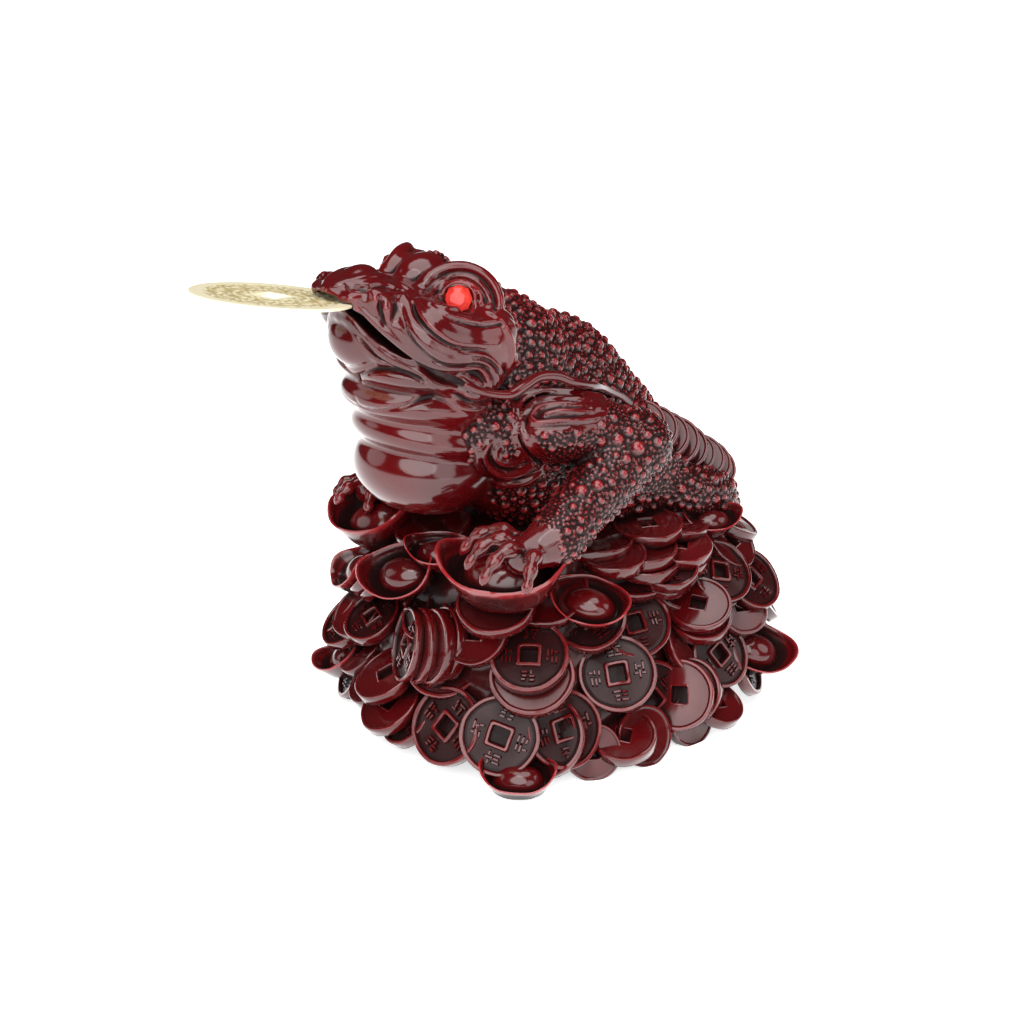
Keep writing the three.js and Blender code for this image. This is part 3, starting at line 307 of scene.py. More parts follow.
ARM_WARTS = (
    (1050, 570, 44), (1180, 555, 52), (1080, 650, 44), (1340, 620, 64), (1270, 490, 46), (1150, 385, 38),
    (1320, 385, 42), (1060, 440, 36), (860, 510, 36), (1250, 712, 42), (1500, 575, 40), (975, 655, 30),
    (590, 570, 30), (890, 968, 56), (1020, 925, 52), (1130, 900, 34), (1130, 990, 30), (950, 1050, 26),
    (1050, 1045, 30), (825, 1095, 34), (880, 1200, 32), (1230, 830, 38), (1240, 990, 28), (810, 1290, 28),
    (780, 1190, 22), (690, 600, 24), (800, 590, 26), (1420, 520, 36), (1420, 720, 36), (1380, 840, 34),
    (1330, 930, 30), (1180, 1090, 28), (1060, 1160, 28), (960, 1290, 26), (700, 1150, 22), (740, 1010, 26),
)

CORD_POINTS = ((19.2, -39.6, 84.4), (20.8, -36.4, 82.6), (22, -31, 81.2), (22, -27.4, 82),
               (21.2, -22.6, 82.8), (21.4, -18, 82), (22, -14, 80), (20.6, -8, 77.6), (17.4, -1.6, 74.6),
               (15.4, 4.4, 71.4), (14.6, 9, 68))

# Toes: points from the palm to the tip
TOES = (
    ((29, -31, 52.4), (23.4, -34.6, 54.6), (19.6, -37.4, 52.6), (17.6, -39.6, 48.6)),
    ((30, -32.5, 52), (26.4, -37.2, 54.4), (24.4, -40.8, 52), (23.6, -43, 48.4)),
    ((31, -33.5, 52), (31.2, -39, 54), (31, -42.8, 51.6), (30.8, -45, 48.2)),
    ((32, -32, 51.5), (36, -36.4, 53), (37.8, -39, 50.6), (38.6, -40.6, 47.8)),
    ((-25, -28, 48), (-21, -32, 48.5), (-19, -35, 45.5)),
    ((-26, -29, 48), (-26, -34, 49), (-26, -38, 46)),
    ((-27, -27, 48), (-31, -31, 48), (-32, -34, 45)),
    ((-4, 42, 37), (-7, 46, 37), (-7.5, 49, 34)),
    ((0, 43, 37.5), (0, 48, 38), (0, 51, 34)),
    ((4, 42, 37), (7, 46, 37), (7.5, 49, 34)),
)
TOE_RADII = (2.2, 1.1, 1.9, 0.95, 1.6, 0.8, 1.3, 0.4)

# The cord's radii from end to end, its height in shares of its width, and the depth of its three furrows
CORD_RADII = (0.7, 1.35, 1.4, 1.2, 1.1)
CORD_HEIGHT = 0.8
CORD_FURROW = 0.16

# The heap: a rounded block that narrows upward
HEAP = {"half_x": 40, "half_y": 49, "lean_x": 0.3, "lean_y": 0.27, "middle_y": 2.5, "squareness": 3,
        "inset": 4.2, "foot": 13, "foot_height": 9, "top": 45, "bump": 0.5, "even_below": 2}
HEAP_WAVES = (0.31, 2, 0.9, 0.13)

# Coins laid where they are seen: bearing round the heap, height, reach beyond it,
# bearing and lift of the face, radius, look (framed, plain or blank)
LAID_COINS = (
    (19, 11.5, 0, 12, 28, 8.2, "framed"), (34, 12, 1, 42, 22, 8.2, "framed"),
    (50, 12, -0.5, 74, 24, 8.2, "framed"), (40, 28, 1.5, 42, 50, 8, "framed"),
    (41, 24, 1.2, 46, 48, 8.6, "blank"), (67, 20.7, 0.5, 54, 36, 8, "framed"),
    (91, 12, 0, 28, 28, 7.4, "plain"), (113, 16.5, 0, 88, 30, 7.3, "framed"),
    (107, 29, 1, 56, 62, 7, "plain"), (96, 38.5, 1, 60, 68, 6.6, "framed"),
    (124, 32.5, 0, 86, 45, 7.4, "framed"), (128, 24, 0, 90, 42, 7, "plain"),
    (136, 28, 1.5, 98, 42, 7.4, "framed"), (138, 36, -1, 104, 45, 6.6, "plain"),
    (78, 28.5, -1, 62, 40, 7.6, "framed"), (68, 8, -1, 48, 66, 6.8, "plain"),
    (100, 45.5, -4, 60, 84, 7.4, "plain"), (90, 42, -2.5, 60, 86, 7.6, "blank"),
    (72, 43, -2, 60, 80, 7, "plain"), (108, 41, -0.5, 60, 78, 7, "plain"),
    (30, 38, 1.5, 36, 62, 8, "blank"), (24, 31, 0, 20, 40, 7, "plain"),
    (1, 24, 1, -24, 14, 7.8, "framed"), (6, 25, 1, -20, 14, 7.8, "blank"),
    (11, 26, 1, -16, 14, 7.8, "blank"), (-26, 24, 1, -8, 48, 6.6, "blank"),
    (-17, 25.5, 0.5, -2, 56, 6.6, "framed"), (-5, 16.5, 0.5, -14, 58, 7.2, "plain"),
    (-2, 11, -0.5, -12, 52, 7.6, "plain"), (-15, 12, -3, -20, 50, 7, "plain"),
    (-24, 34, 1, -58, 40, 6.4, "plain"), (-27, 15, -2.5, -24, 44, 6.6, "plain"),
    (-37, 21, 3.4, -44, 38, 7, "framed"), (-45, 18.5, 2.6, -62, 32, 7, "plain"),
    (-30, 20.5, 2.4, -16, 46, 6.6, "framed"), (58, 5.6, -2, 60, 16, 6, "plain"),
    (76, 6, -1, 80, 20, 6.4, "plain"), (97, 5.4, -1.5, 90, 14, 6, "plain"),
    (106, 8, 0.5, 100, 60, 6, "plain"),
)

# Ingots, as the coins, with the turn of their long axis instead of a look
LAID_INGOTS = (
    (33, 46.5, 6.5, 40, 76, 13.4, 0), (-31, 44, 3, -20, 72, 11, 30), (-4, 38.5, 3, 10, 46, 9, 20),
    (58, 36.5, 2, 54, 58, 8.4, -20), (5, 44, -1, 40, 70, 7, 0), (39, 5, 1, 42, 70, 8, 0),
    (129, 14, 0, 84, 50, 9, -30), (130, 43, -1, 60, 70, 6.5, 0), (-34, 11, 0, -40, 55, 8, 60),
    (-38, 30, 3.5, -40, 48, 9, 30),
)

# Tiers that fill the rest of the heap: height, coins, lift of the faces, reach
TIERS = ((8.6, 17, 28, -0.5), (19, 16, 36, -0.5), (29.5, 14, 48, -1.5), (37, 12, 62, -2.5),
         (42.5, 11, 80, -4.5))
TIER_RADIUS = 8.5
TIER_STRAY = {"bearing": 0.3, "height": 1.6, "reach": 0.8, "face": 22, "lift": 12, "radius": 0.1, "turn": 40}
TIER_RAISE = 2
TIER_DEPTH = -2.6
SEEDS_PER_TIER = 31
UNDER_RAISE = 5.2
UNDER_DEPTH = -1.8
UNDER_LIFT_STRAY = 8

# A laid coin that leans this far from its bearing gets a plain one behind it
LEANING = 24
LAID_TURN = 25
BACKING_STRAY = 1.1
BACKING_SHARE = 0.97
LAID_STRETCH = (-40, 146)
INGOT_EVERY = 6
FLAT_LIFT = 75

# The strings of coins on the flanks
STRING_POINTS = ((15.2, 10, 64.2), (15.2, 18, 59.4), (14.4, 25, 54.8), (13.4, 31, 50.8), (11.8, 36, 47.4))
STRING_RADIUS = 6.1
STRING_COINS = 9
STRING_THICKNESS = 0.76
STRING_LEAN = 44
STRING_STRAY = 8
STRING_TAPER = 0.16
STRING_RADIUS_STRAY = 0.04
STRING_OUT_LIFT = 0.9
STRING_POINT_COUNT = 60

# Lights of the studio: name, bearing, lift, distance and size in metres, radiance
SOFTBOXES = (
    ("softbox_front", 38, 33, 1.0, 0.8, 11.5),
    ("softbox_side", 80, 14, 1.0, 0.5, 6.4),
    ("softbox_top", 60, 82, 1.3, 1.1, 9.5),
    ("softbox_left", -40, 20, 1.1, 0.55, 4.2),
    ("softbox_right", 130, 25, 0.95, 0.45, 6),
)

# Discs of light laid over one another, so that a box fades towards its edge
BOX_RINGS = (0.6, 0.95, 1.3)
WORLD_STRENGTH = 0.04

# Tints as shares of a colour's red, green and blue (the brass one is its painted shade), colours that no
# panel sets, and glows (the gem's is a painted glow)
RESIN_CLOUD = (1.7, 1.5, 1.4)
BRASS_PAINTED_SHADE = (0.5, 0.42, 0.25)
GEM_DARK = (0.25, 0.008, 0.008, 1)
GEM_LIGHT = (0.4, 0.03, 0.02, 1)
GEM_PAINTED_GLOW = 0.55
FLOOR_CLOUD = (0.8, 0.8, 0.8, 1)
FLOOR_GLOW = 0.6
WHITE = (1, 1, 1, 1)

# Depth of the finest grain, in metres
RESIN_GRAIN = 0.00012
BRASS_GRAIN = 0.00006

# Faces of a cast coin of radius 1: distance from its middle, height in millimetres, whether the ring is
# square, darkness of the black paint and painted shade in recesses and underneath, brightness of rubbed
# rims with painted highlights
COIN_EDGE = (
    (0.0, -COIN_THICKNESS, 0, 0.6, 0), (0.96, -COIN_THICKNESS, 0, 0.6, 0),
    (1.0, 0.25 - COIN_THICKNESS, 0, 0.3, 0), (1.0, -0.4, 0, 0.1, 0.05), (0.992, -0.12, 0, 0.0, 0.35),
    (0.97, 0.0, 0, 0.0, 0.4),
)
FRAMED_FACE = (
    (0.915, 0.0, 0, 0.1, 0.35), (0.895, -0.12, 0, 0.2, 0.3), (0.87, -0.75, 0, 0.95, 0),
    (0.8, -0.8, 0, 0.6, 0),
    (0.33, -0.8, 1, 0.6, 0), (0.3, -0.2, 1, 0.2, 0.2), (0.285, -0.1, 1, 0.0, 0.4), (0.24, -0.1, 1, 0.0, 0.4),
    (0.225, -0.2, 1, 0.3, 0.1), (0.205, -2.0, 1, 1.0, 0), (0.0, -2.0, 1, 1.0, 0),
)
PLAIN_FACE = (
    (0.92, 0.0, 0, 0.0, 0.3), (0.89, -0.2, 0, 0.5, 0.1), (0.86, -0.25, 0, 0.35, 0), (0.29, -0.2, 1, 0.2, 0),
    (0.27, -0.12, 1, 0.0, 0.3), (0.25, -0.12, 1, 0.0, 0.3), (0.235, -0.25, 1, 0.2, 0.1),
    (0.22, -1.9, 1, 1.0, 0), (0.0, -1.9, 1, 1.0, 0),
)

# Strokes round the hole of a framed coin, in shares of its radius, and how far chance moves each of them
STROKE = {"rows": 3, "columns": 2, "out": 0.575, "step": 0.1, "long": 0.085, "thin": 0.025, "cross": 0.06,
          "cross_above": 0.35, "long_stray": 0.03, "out_stray": 0.012, "side_stray": 0.02}

# Foot and top of a stroke: height in millimetres, share of its outline, darkness of black paint and painted
# shade, brightness of rubbing with painted highlight
STROKE_LEVELS = ((-0.85, 1.25, 0.8, 0), (-0.25, 0.8, 0.25, 0.3))

# A boat-shaped ingot of half length 1: distance from its middle, height, rise towards its ends, darkness of
# black paint and painted shade in the basin and underneath, brightness of the rubbed rim with painted
# highlight
INGOT_PROFILE = (
    (0.0, -0.60, 0.0, 0.6, 0), (0.50, -0.60, 0.0, 0.6, 0), (0.57, -0.57, 0.02, 0.3, 0),
    (0.74, -0.40, 0.07, 0.15, 0), (0.90, -0.14, 0.18, 0.1, 0.1), (0.99, 0.0, 0.24, 0.0, 0.8),
    (1.0, 0.03, 0.25, 0.0, 1), (0.97, 0.05, 0.26, 0.0, 1), (0.94, 0.03, 0.25, 0.1, 0.5),
    (0.88, -0.06, 0.22, 0.5, 0), (0.85, -0.11, 0.16, 0.2, 0.3), (0.82, -0.13, 0.13, 0.6, 0),
    (0.75, -0.22, 0.06, 0.8, 0), (0.69, -0.27, 0.02, 1.0, 0), (0.65, -0.24, 0.0, 0.7, 0),
    (0.61, -0.14, 0.0, 0.3, 0), (0.54, -0.04, 0.0, 0.05, 0.1), (0.42, 0.05, 0.0, 0.0, 0.1),
    (0.26, 0.12, 0.0, 0.0, 0.1), (0.12, 0.15, 0.0, 0.0, 0.1), (0.0, 0.155, 0.0, 0.0, 0.1),
)
INGOT_WIDTH = 0.72

# Relief of the brass coin: how soft its rim's edge is, the frame round the hole from its foot to its top,
# the waves and rings that the pattern follows, where a wave becomes a stroke, and how strokes vary in height
BRASS_RIM_EDGE = 0.15
BRASS_FRAME = (0.9, 0.65)
BRASS_WAVES = ((2.3, 1.7, 1.3), (2.5, 1.9, 1.1))
BRASS_RINGS = {"start": 4.6, "step": 2.6}
BRASS_STROKE = (-0.05, 0.2)
BRASS_STROKE_HEIGHT = 0.85
BRASS_STROKE_RANGE = (0.45, 0.55)

BRASS_PLACE = {"at": (-6, -65.5, 100.8), "face": (-0.049, 0.165, 0.985), "spin": 20}

# The picture's width in pixels, its pixels to a millimetre, and how many millimetres of a sight line are
# searched on each side of the target
PICTURE = 1010
PIXELS_PER_MM = 4.95
SIGHT_REACH = 90

# Warts: the gap between two in shares of their radii, height of a dome and depth and width of the moat
# round it in shares of its radius, and how many near ones are weighed at a place
WART_GAP = 1.04
WART_HEIGHT = 0.66
WART_MOAT_DEPTH = 0.1
WART_MOAT_WIDTH = 0.5
WARTS_WEIGHED = 3
WART_SEARCH_CELL = 2.4

# Where warts grow on the head: on the nape, and between the brows on its crown
HEAD_WARTS = {"behind": -24.5, "above": 84}
CROWN_WARTS = {"half": 4, "behind": -31, "above": 96}

# Where warts grow on the body, and how rare the small and the large ones are on the arms and elsewhere
ARM = {"from_x": 21, "to_y": 12, "small_above": 0.992, "large_above": 0.9999}
BACK = {"small_above": 0.95, "large_above": 0.9965}
FINE_WART_SHARE = 0.45

# Places without warts: the front of the throat, the hands and the foot, and beside the carved swirls
BARE_FRONT = {"before": -20, "half": 8}
BARE_TOES = {"before": -29, "below": 57, "foot_below": 41}
SWIRL_CLEARANCE = 1.4

HEAD_WART_SEED = 3
BODY_WART_SEED = 5

# Where a place counts as a fold or a ridge: the share of clay round it, and over how wide a span
FOLD_SPAN = (0.53, 0.14)
RIDGE_SPAN = (0.455, 0.12)

# How dark the black paint and painted shade lie between and round the warts, and how bright ridges and
# wart tops are rubbed and painted with highlights
PIT_SHADE_AND_WASH = 0.66
MOAT_SHADE_AND_WASH = 0.4
RIDGE_WEAR_AND_HIGHLIGHT = 0.45
WART_WEAR_AND_HIGHLIGHT = 0.75
# Darkness of the heap's mass, which lies deep between the coins: black paint and painted shade
HEAP_SHADE_AND_WASH = 0.5

# Unevenness of the casting, in millimetres, and the waves that it follows
CASTING_SWAY = 0.07
CASTING_RIPPLE = 0.02
SWAY_WAVES = ((0.71, 1.3, 0.53), (0.63, 0.37), (0.77, 1.1, 0.47))
RIPPLE_WAVES = (1.9, 2.1, 1.7)
CAMERA = {"azimuth": 50, "elevation": 21.5, "distance": 480, "field": 25.2, "target": (-6.5, -7.8, 44)}


# Places and directions


def mirrored(points):
    return tuple((-x, y, z) for x, y, z in points)


def bearing_vector(bearing, lift=0.0):
    b, l = math.radians(bearing), math.radians(lift)
    return Vector((math.sin(b) * math.cos(l), -math.cos(b) * math.cos(l), math.sin(l)))


def stray(seed):
    """A value strayed evenly between -1 and 1, the same in every run."""
    x = math.sin(seed * MIX_FACTORS[0]) * MIX_GAIN
    return 2 * (x - math.floor(x)) - 1


def face_matrix(at, look, side_from=(0, 0, 1)):
    """The move that puts a thing with its face on local Z at a place, looking along look."""
    look = Vector(look).normalized()
    side = Vector(side_from).cross(look).normalized()
    up = look.cross(side)
    move = Matrix((side, up, look)).transposed().to_4x4()
    move.translation = Vector(at)
    return move


def heap_point(bearing, height, reach):
    way = bearing_vector(bearing)
    half_x = HEAP["half_x"] - HEAP["lean_x"] * height
    half_y = HEAP["half_y"] - HEAP["lean_y"] * height
    power = HEAP["squareness"]
    span = abs(way.x / half_x) ** power + abs(way.y / half_y) ** power
    out = span ** (-1 / power) + reach
    return Vector((way.x * out, HEAP["middle_y"] + way.y * out, height))


def heap_matrix(bearing, height, reach, face, lift, turn=0.0):
    at = heap_point(bearing, height, reach)
    return face_matrix(at, bearing_vector(face, lift)) @ Matrix.Rotation(math.radians(turn), 4, "Z")


def tier_rows():
    """The coins and ingots that fill the rest of the heap."""
    coins, ingots = [], []
    for t, (height, count, lift, reach) in enumerate(TIERS):
        step = 360 / count
        for i in range(count):
            seed = SEEDS_PER_TIER * t + i + 1
            bearing = LAID_STRETCH[0] + step * (i + 0.5 * (t % 2) + TIER_STRAY["bearing"] * stray(seed))
            covered = bearing < LAID_STRETCH[1]
            if covered and i % 2 == 1 and lift < FLAT_LIFT:
                continue
            place = (
                bearing,
                height + (TIER_RAISE if covered else 0) + TIER_STRAY["height"] * stray(seed + 0.3),
                reach + (TIER_DEPTH if covered else 0) + TIER_STRAY["reach"] * stray(seed + 0.6),
                bearing + TIER_STRAY["face"] * stray(seed + 0.1),
                lift + TIER_STRAY["lift"] * stray(seed + 0.2),
                TIER_RADIUS * (1 + TIER_STRAY["radius"] * stray(seed + 0.4)),
            )
            turn = TIER_STRAY["turn"] * stray(seed + 0.5)
            if not covered and seed % INGOT_EVERY == 0:
                ingots.append(place + (turn,))
            else:
                coins.append(place + ("framed" if seed % 2 else "plain", turn))
            if not covered and lift < FLAT_LIFT:
                between = bearing + 0.5 * step
                under = (between, place[1] + UNDER_RAISE, reach + UNDER_DEPTH, between)
                under_lift = lift + UNDER_LIFT_STRAY * stray(seed + 0.8)
                look = "plain" if seed % 2 else "blank"
                coins.append(under + (under_lift, TIER_RADIUS, look, turn))
    return coins, ingots


def coin_places():
    """Every cast coin: its matrix, radius and look."""
    places = []
    for n, (bearing, height, reach, face, lift, radius, look) in enumerate(LAID_COINS):
        matrix = heap_matrix(bearing, height, reach, face, lift, LAID_TURN * stray(n + 0.7))
        places.append((matrix, radius, look))
        if abs(face - bearing) > LEANING:
            aside = (BACKING_STRAY * stray(n + 0.2), BACKING_STRAY * stray(n + 0.4), -COIN_THICKNESS)
            places.append((matrix @ Matrix.Translation(aside), BACKING_SHARE * radius, "blank"))
    for bearing, height, reach, face, lift, radius, look, turn in tier_rows()[0]:
        places.append((heap_matrix(bearing, height, reach, face, lift, turn), radius, look))
    return places


def string_places():
    """Every coin of the two strings: its matrix, radius and look."""
    places = []
    for points, side in ((STRING_POINTS, 1), (mirrored(STRING_POINTS), -1)):
        line = smooth_line(points, STRING_POINT_COUNT)
        length = np.concatenate([[0], np.cumsum(np.linalg.norm(np.diff(line, axis=0), axis=1))])
        for i in range(STRING_COINS):
            s = length[-1] * i / (STRING_COINS - 1)
            at = [np.interp(s, length, line[:, k]) for k in range(3)]
            ahead = [np.interp(s + 0.5, length, line[:, k]) - np.interp(s - 0.5, length, line[:, k])
                     for k in range(3)]
            way = -Vector(ahead).normalized()
            out = Vector((side, 0, STRING_OUT_LIFT)).normalized()
            lean = math.radians(STRING_LEAN + STRING_STRAY * stray(i + 31))
            taper = STRING_TAPER * i / (STRING_COINS - 1)
            radius = STRING_RADIUS * (1 - taper + STRING_RADIUS_STRAY * stray(i + 7))
            look = (way * math.cos(lean) + out * math.sin(lean)).normalized()
            places.append((face_matrix(at, look), radius, "plain"))
    return places


def ingot_places():
    rows = list(LAID_INGOTS) + tier_rows()[1]
    return [(heap_matrix(b, h, r, f, l, turn), radius) for b, h, r, f, l, radius, turn in rows]


def smooth_line(points, count=24):
    """A curve through the points, as a list of places along it."""
    p = np.array(points, float)
    p = np.vstack([2 * p[0] - p[1], p, 2 * p[-1] - p[-2]])
    spans = len(p) - 3
    per = max(2, count // spans)
    out = []
    for i in range(spans):
        a, b, c, d = p[i:i + 4]
        for t in np.arange(per) / per:
            out.append(0.5 * (2 * b + (c - a) * t + (2 * a - 5 * b + 4 * c - d) * t * t
                              + (3 * b - a - 3 * c + d) * t ** 3))
    out.append(p[-2])
    return np.array(out)


def spread(values, count):
    """A few values, given at even steps, as many values along a line."""
    return np.interp(np.linspace(0, 1, count), np.linspace(0, 1, len(values)), values)


# Clay


def turning(turn):
    ax, ay, az = np.radians(turn)
    x = np.array([[1, 0, 0], [0, math.cos(ax), -math.sin(ax)], [0, math.sin(ax), math.cos(ax)]])
    y = np.array([[math.cos(ay), 0, math.sin(ay)], [0, 1, 0], [-math.sin(ay), 0, math.cos(ay)]])
    z = np.array([[math.cos(az), -math.sin(az), 0], [math.sin(az), math.cos(az), 0], [0, 0, 1]])
    return z @ y @ x


def melted(a, b, soft):
    """The smaller of two distances, rounded off where they come near each other."""
    made = np.minimum(a, b)
    if soft > 0:
        melt = np.maximum(soft - np.abs(a - b), 0) / soft
        made = made - melt * melt * soft * 0.25
    return made


class Clay:
    """Distances to a surface on a grid of cells, below zero inside it. Shapes melt into one another."""

    FAR = 6.0
    MARGIN = 3.0

    def __init__(self, low, high, cell):
        self.low = np.array(low, float)
        self.cell = cell
        self.axes = [l + cell * np.arange(int(math.ceil((h - l) / cell)) + 1) for l, h in zip(low, high)]
        self.field = np.full([len(a) for a in self.axes], self.FAR, np.float32)

    def _apply(self, shape, soft, carve):
        distance, low, high = shape
        part = self._block(low, high, self.MARGIN + soft)
        if any(p.stop - p.start < 2 for p in part):
            return
        sign = -1 if carve else 1
        self.field[part] = sign * melted(sign * self.field[part], distance(self._grid(part)), soft)

    def add(self, shape, soft):
        self._apply(shape, soft, False)

    def cut(self, shape, soft):
        self._apply(shape, soft, True)

    def _grid(self, part):
        x, y, z = [axis[p].astype(np.float32) for axis, p in zip(self.axes, part)]
        return x[:, None, None], y[None, :, None], z[None, None, :]

    def _block(self, low, high, reach):
        part = []
        for i in range(3):
            a = max(0, int((low[i] - reach - self.low[i]) / self.cell))
            b = min(len(self.axes[i]), int((high[i] + reach - self.low[i]) / self.cell) + 2)
            part.append(slice(a, max(a, b)))
        return tuple(part)

    def line(self, points, radii, soft=0.5, carve=False):
        """A round strand along the points, melted in as one shape."""
        points = np.array(points, float)
        widest = max(radii)
        whole = self._block(points.min(0) - widest, points.max(0) + widest, self.MARGIN + soft)
        strand = np.full([s.stop - s.start for s in whole], self.FAR, np.float32)
        for i in range(len(points) - 1):
            distance, low, high = limb(points[i], points[i + 1], radii[i], radii[i + 1])
            part = self._block(low, high, soft + self.MARGIN / 2)
            if any(p.stop == p.start for p in part):
                continue
            inner = tuple(slice(p.start - w.start, p.stop - w.start) for p, w in zip(part, whole))
            strand[inner] = np.minimum(strand[inner], distance(self._grid(part)))
        sign = -1 if carve else 1
        self.field[whole] = sign * melted(sign * self.field[whole], strand, soft)

    def at(self, points):
        return sampled(self.field, self.low, self.cell, points)

    def normals(self, points):
        steps = np.eye(3) * self.cell
        g = np.stack([self.at(points + s) - self.at(points - s) for s in steps], 1)
        return g / (np.linalg.norm(g, axis=1, keepdims=True) + 1e-9)

    def onto_skin(self, points, sunk=0.0):
        """The points drawn onto the surface, or sunk under it."""
        p = np.array(points, float)
        for _ in range(3):
            p = p - self.normals(p) * (self.at(p) + sunk)[:, None]
        return p


def sampled(field, low, cell, points):
    q = (np.asarray(points, float) - low) / cell
    i = np.clip(np.floor(q).astype(int), 0, np.array(field.shape) - 2)
    t = np.clip(q - i, 0, 1)
    out = 0
    for corner in product((0, 1), repeat=3):
        weight = np.prod([t[:, k] if corner[k] else 1 - t[:, k] for k in range(3)], 0)
        out = out + weight * field[i[:, 0] + corner[0], i[:, 1] + corner[1], i[:, 2] + corner[2]]
    return out


def turned_back(p, centre, move):
    """The grid's places as seen from the centre and axes of a shape."""
    q = [p[i] - np.float32(centre[i]) for i in range(3)]
    return [sum(np.float32(move[j, i]) * q[j] for j in range(3)) for i in range(3)]


def egg(centre, size, turn=(0, 0, 0)):
    c, r, m = np.array(centre, float), np.array(size, float), turning(turn)
    extent = np.sqrt(((m * r) ** 2).sum(1))

    def distance(p):
        local = turned_back(p, c, m)
        near = np.sqrt(sum((local[i] / np.float32(r[i])) ** 2 for i in range(3)))
        slope = np.sqrt(sum((local[i] / np.float32(r[i] ** 2)) ** 2 for i in range(3))) + 1e-9
        return near * (near - 1) / slope

    return distance, c - extent, c + extent


def limb(a, b, first, last):
    a, b = np.array(a, float), np.array(b, float)
    along = b - a
    squared = float(along @ along) + 1e-12

    def distance(p):
        q = [p[i] - np.float32(a[i]) for i in range(3)]
        t = np.clip(sum(q[i] * np.float32(along[i]) for i in range(3)) / np.float32(squared), 0, 1)
        away = np.sqrt(sum((q[i] - t * np.float32(along[i])) ** 2 for i in range(3)))
        return away - (np.float32(first) + t * np.float32(last - first))

    radius = max(first, last)
    return distance, np.minimum(a, b) - radius, np.maximum(a, b) + radius


def disc(matrix, radius, thickness):
    """A flat round piece below local Z = 0."""
    m = np.array(matrix.to_3x3())
    c = np.array(matrix.translation)

    def distance(p):
        local = turned_back(p, c, m)
        out = np.sqrt(local[0] ** 2 + local[1] ** 2) - np.float32(radius)
        flat = np.abs(local[2] + np.float32(thickness / 2)) - np.float32(thickness / 2)
        return np.maximum(out, flat)

    return distance, c - radius, c + radius


def add_strand(clay, points, radii, soft=0.5, carve=False):
    clay.line(points, spread(radii, len(points)), soft, carve)


def evened(line, passes):
    """The line with its small jumps smoothed out."""
    line = np.array(line, float)
    for _ in range(passes):
        line[1:-1] = (line[:-2] + 2 * line[1:-1] + line[2:]) / 4
    return line


def blurred(field, radius, passes=2):
    """Each cell as the mean of the cells round it."""
    out = field
    width = 2 * radius + 1
    for _ in range(passes):
        for axis in range(3):
            pad = [(0, 0)] * 3
            pad[axis] = (radius + 1, radius)
            total = np.cumsum(np.pad(out, pad, mode="edge"), axis=axis, dtype=np.float32)
            high = [slice(None)] * 3
            low = [slice(None)] * 3
            high[axis] = slice(width, None)
            low[axis] = slice(0, -width)
            out = (total[tuple(high)] - total[tuple(low)]) / width
    return out


def surface_of(field, low, cell):
    """Points and quads of the surface where the field is zero, one point to a cell."""
    inside = field < 0
    n = np.array(field.shape)
    count = np.zeros(n - 1, np.uint8)
    for i, j, k in product((0, 1), repeat=3):
        count += inside[i:n[0] - 1 + i, j:n[1] - 1 + j, k:n[2] - 1 + k]
    active = (count > 0) & (count < 8)
    cells = np.argwhere(active)
    index = np.full(active.shape, -1, np.int32)
    index[active] = np.arange(len(cells))
    total, number = np.zeros((len(cells), 3)), np.zeros(len(cells))
    for axis in range(3):
        others = [i for i in range(3) if i != axis]
        for u, v in product((0, 1), repeat=2):
            offset = np.zeros(3, int)
            offset[others[0]], offset[others[1]] = u, v
            first = cells + offset
            last = first.copy()
            last[:, axis] += 1
            a, b = field[tuple(first.T)], field[tuple(last.T)]
            crossed = (a < 0) != (b < 0)
            t = a[crossed] / (a[crossed] - b[crossed])
            place = np.tile(offset.astype(float), (crossed.sum(), 1))
            place[:, axis] += t
            total[crossed] += place
            number[crossed] += 1
    points = np.array(low) + cell * (cells + total / number[:, None])
    faces = []
    for a in range(3):
        b, c = (a + 1) % 3, (a + 2) % 3
        near = [slice(1, n[i] - 1) for i in range(3)]
        far = list(near)
        near[a], far[a] = slice(0, n[a] - 1), slice(1, n[a])
        edge_inside = inside[tuple(near)]
        edges = np.argwhere(edge_inside != inside[tuple(far)])
        outward = edge_inside[tuple(edges.T)]
        base = edges.copy()
        base[:, b] += 1
        base[:, c] += 1

        def cell_at(back_b, back_c):
            q = base.copy()
            q[:, b] -= back_b
            q[:, c] -= back_c
            return index[tuple(q.T)]

        quad = np.stack([cell_at(1, 1), cell_at(0, 1), cell_at(0, 0), cell_at(1, 0)], 1)
        quad[~outward] = quad[~outward][:, ::-1]
        faces.append(quad)
    return points, np.vstack(faces)


# The toad in clay


def add_masses(clay, rows):
    for centre, size, turn, soft, both in rows:
        clay.add(egg(centre, size, turn), soft)
        if both:
            clay.add(egg((-centre[0], centre[1], centre[2]), size, (turn[0], -turn[1], -turn[2])), soft)


def add_limbs(clay, rows):
    for a, b, radii, soft, both in rows:
        clay.add(limb(a, b, *radii), soft)
        if both:
            clay.add(limb(*mirrored((a, b)), *radii), soft)


def add_eyes(clay):
    for side in (1, -1):
        look = bearing_vector(side * GEM["bearing"], GEM["lift"])
        x, y, z = GEM["at"]
        at = Vector((side * x, y, z))
        move = face_matrix(at, look)
        across, up = move.col[0].to_3d(), move.col[1].to_3d()
        clay.cut(egg(at + look * GEM["socket_out"], GEM["socket"]), EDGE_SOFTNESS)
        for half_width, half_height, radius, out in GEM["lids"]:
            ring = [at + look * out + across * (half_width * math.cos(a)) + up * (half_height * math.sin(a))
                    for a in np.linspace(0, 2 * math.pi, LID_POINTS)]
            add_strand(clay, ring, (radius, radius), LID_SOFTNESS)
        clay.cut(egg(at + look * GEM["bed_out"], (GEM["radius"] + GEM["bed_gap"],) * 3), BED_SOFTNESS)


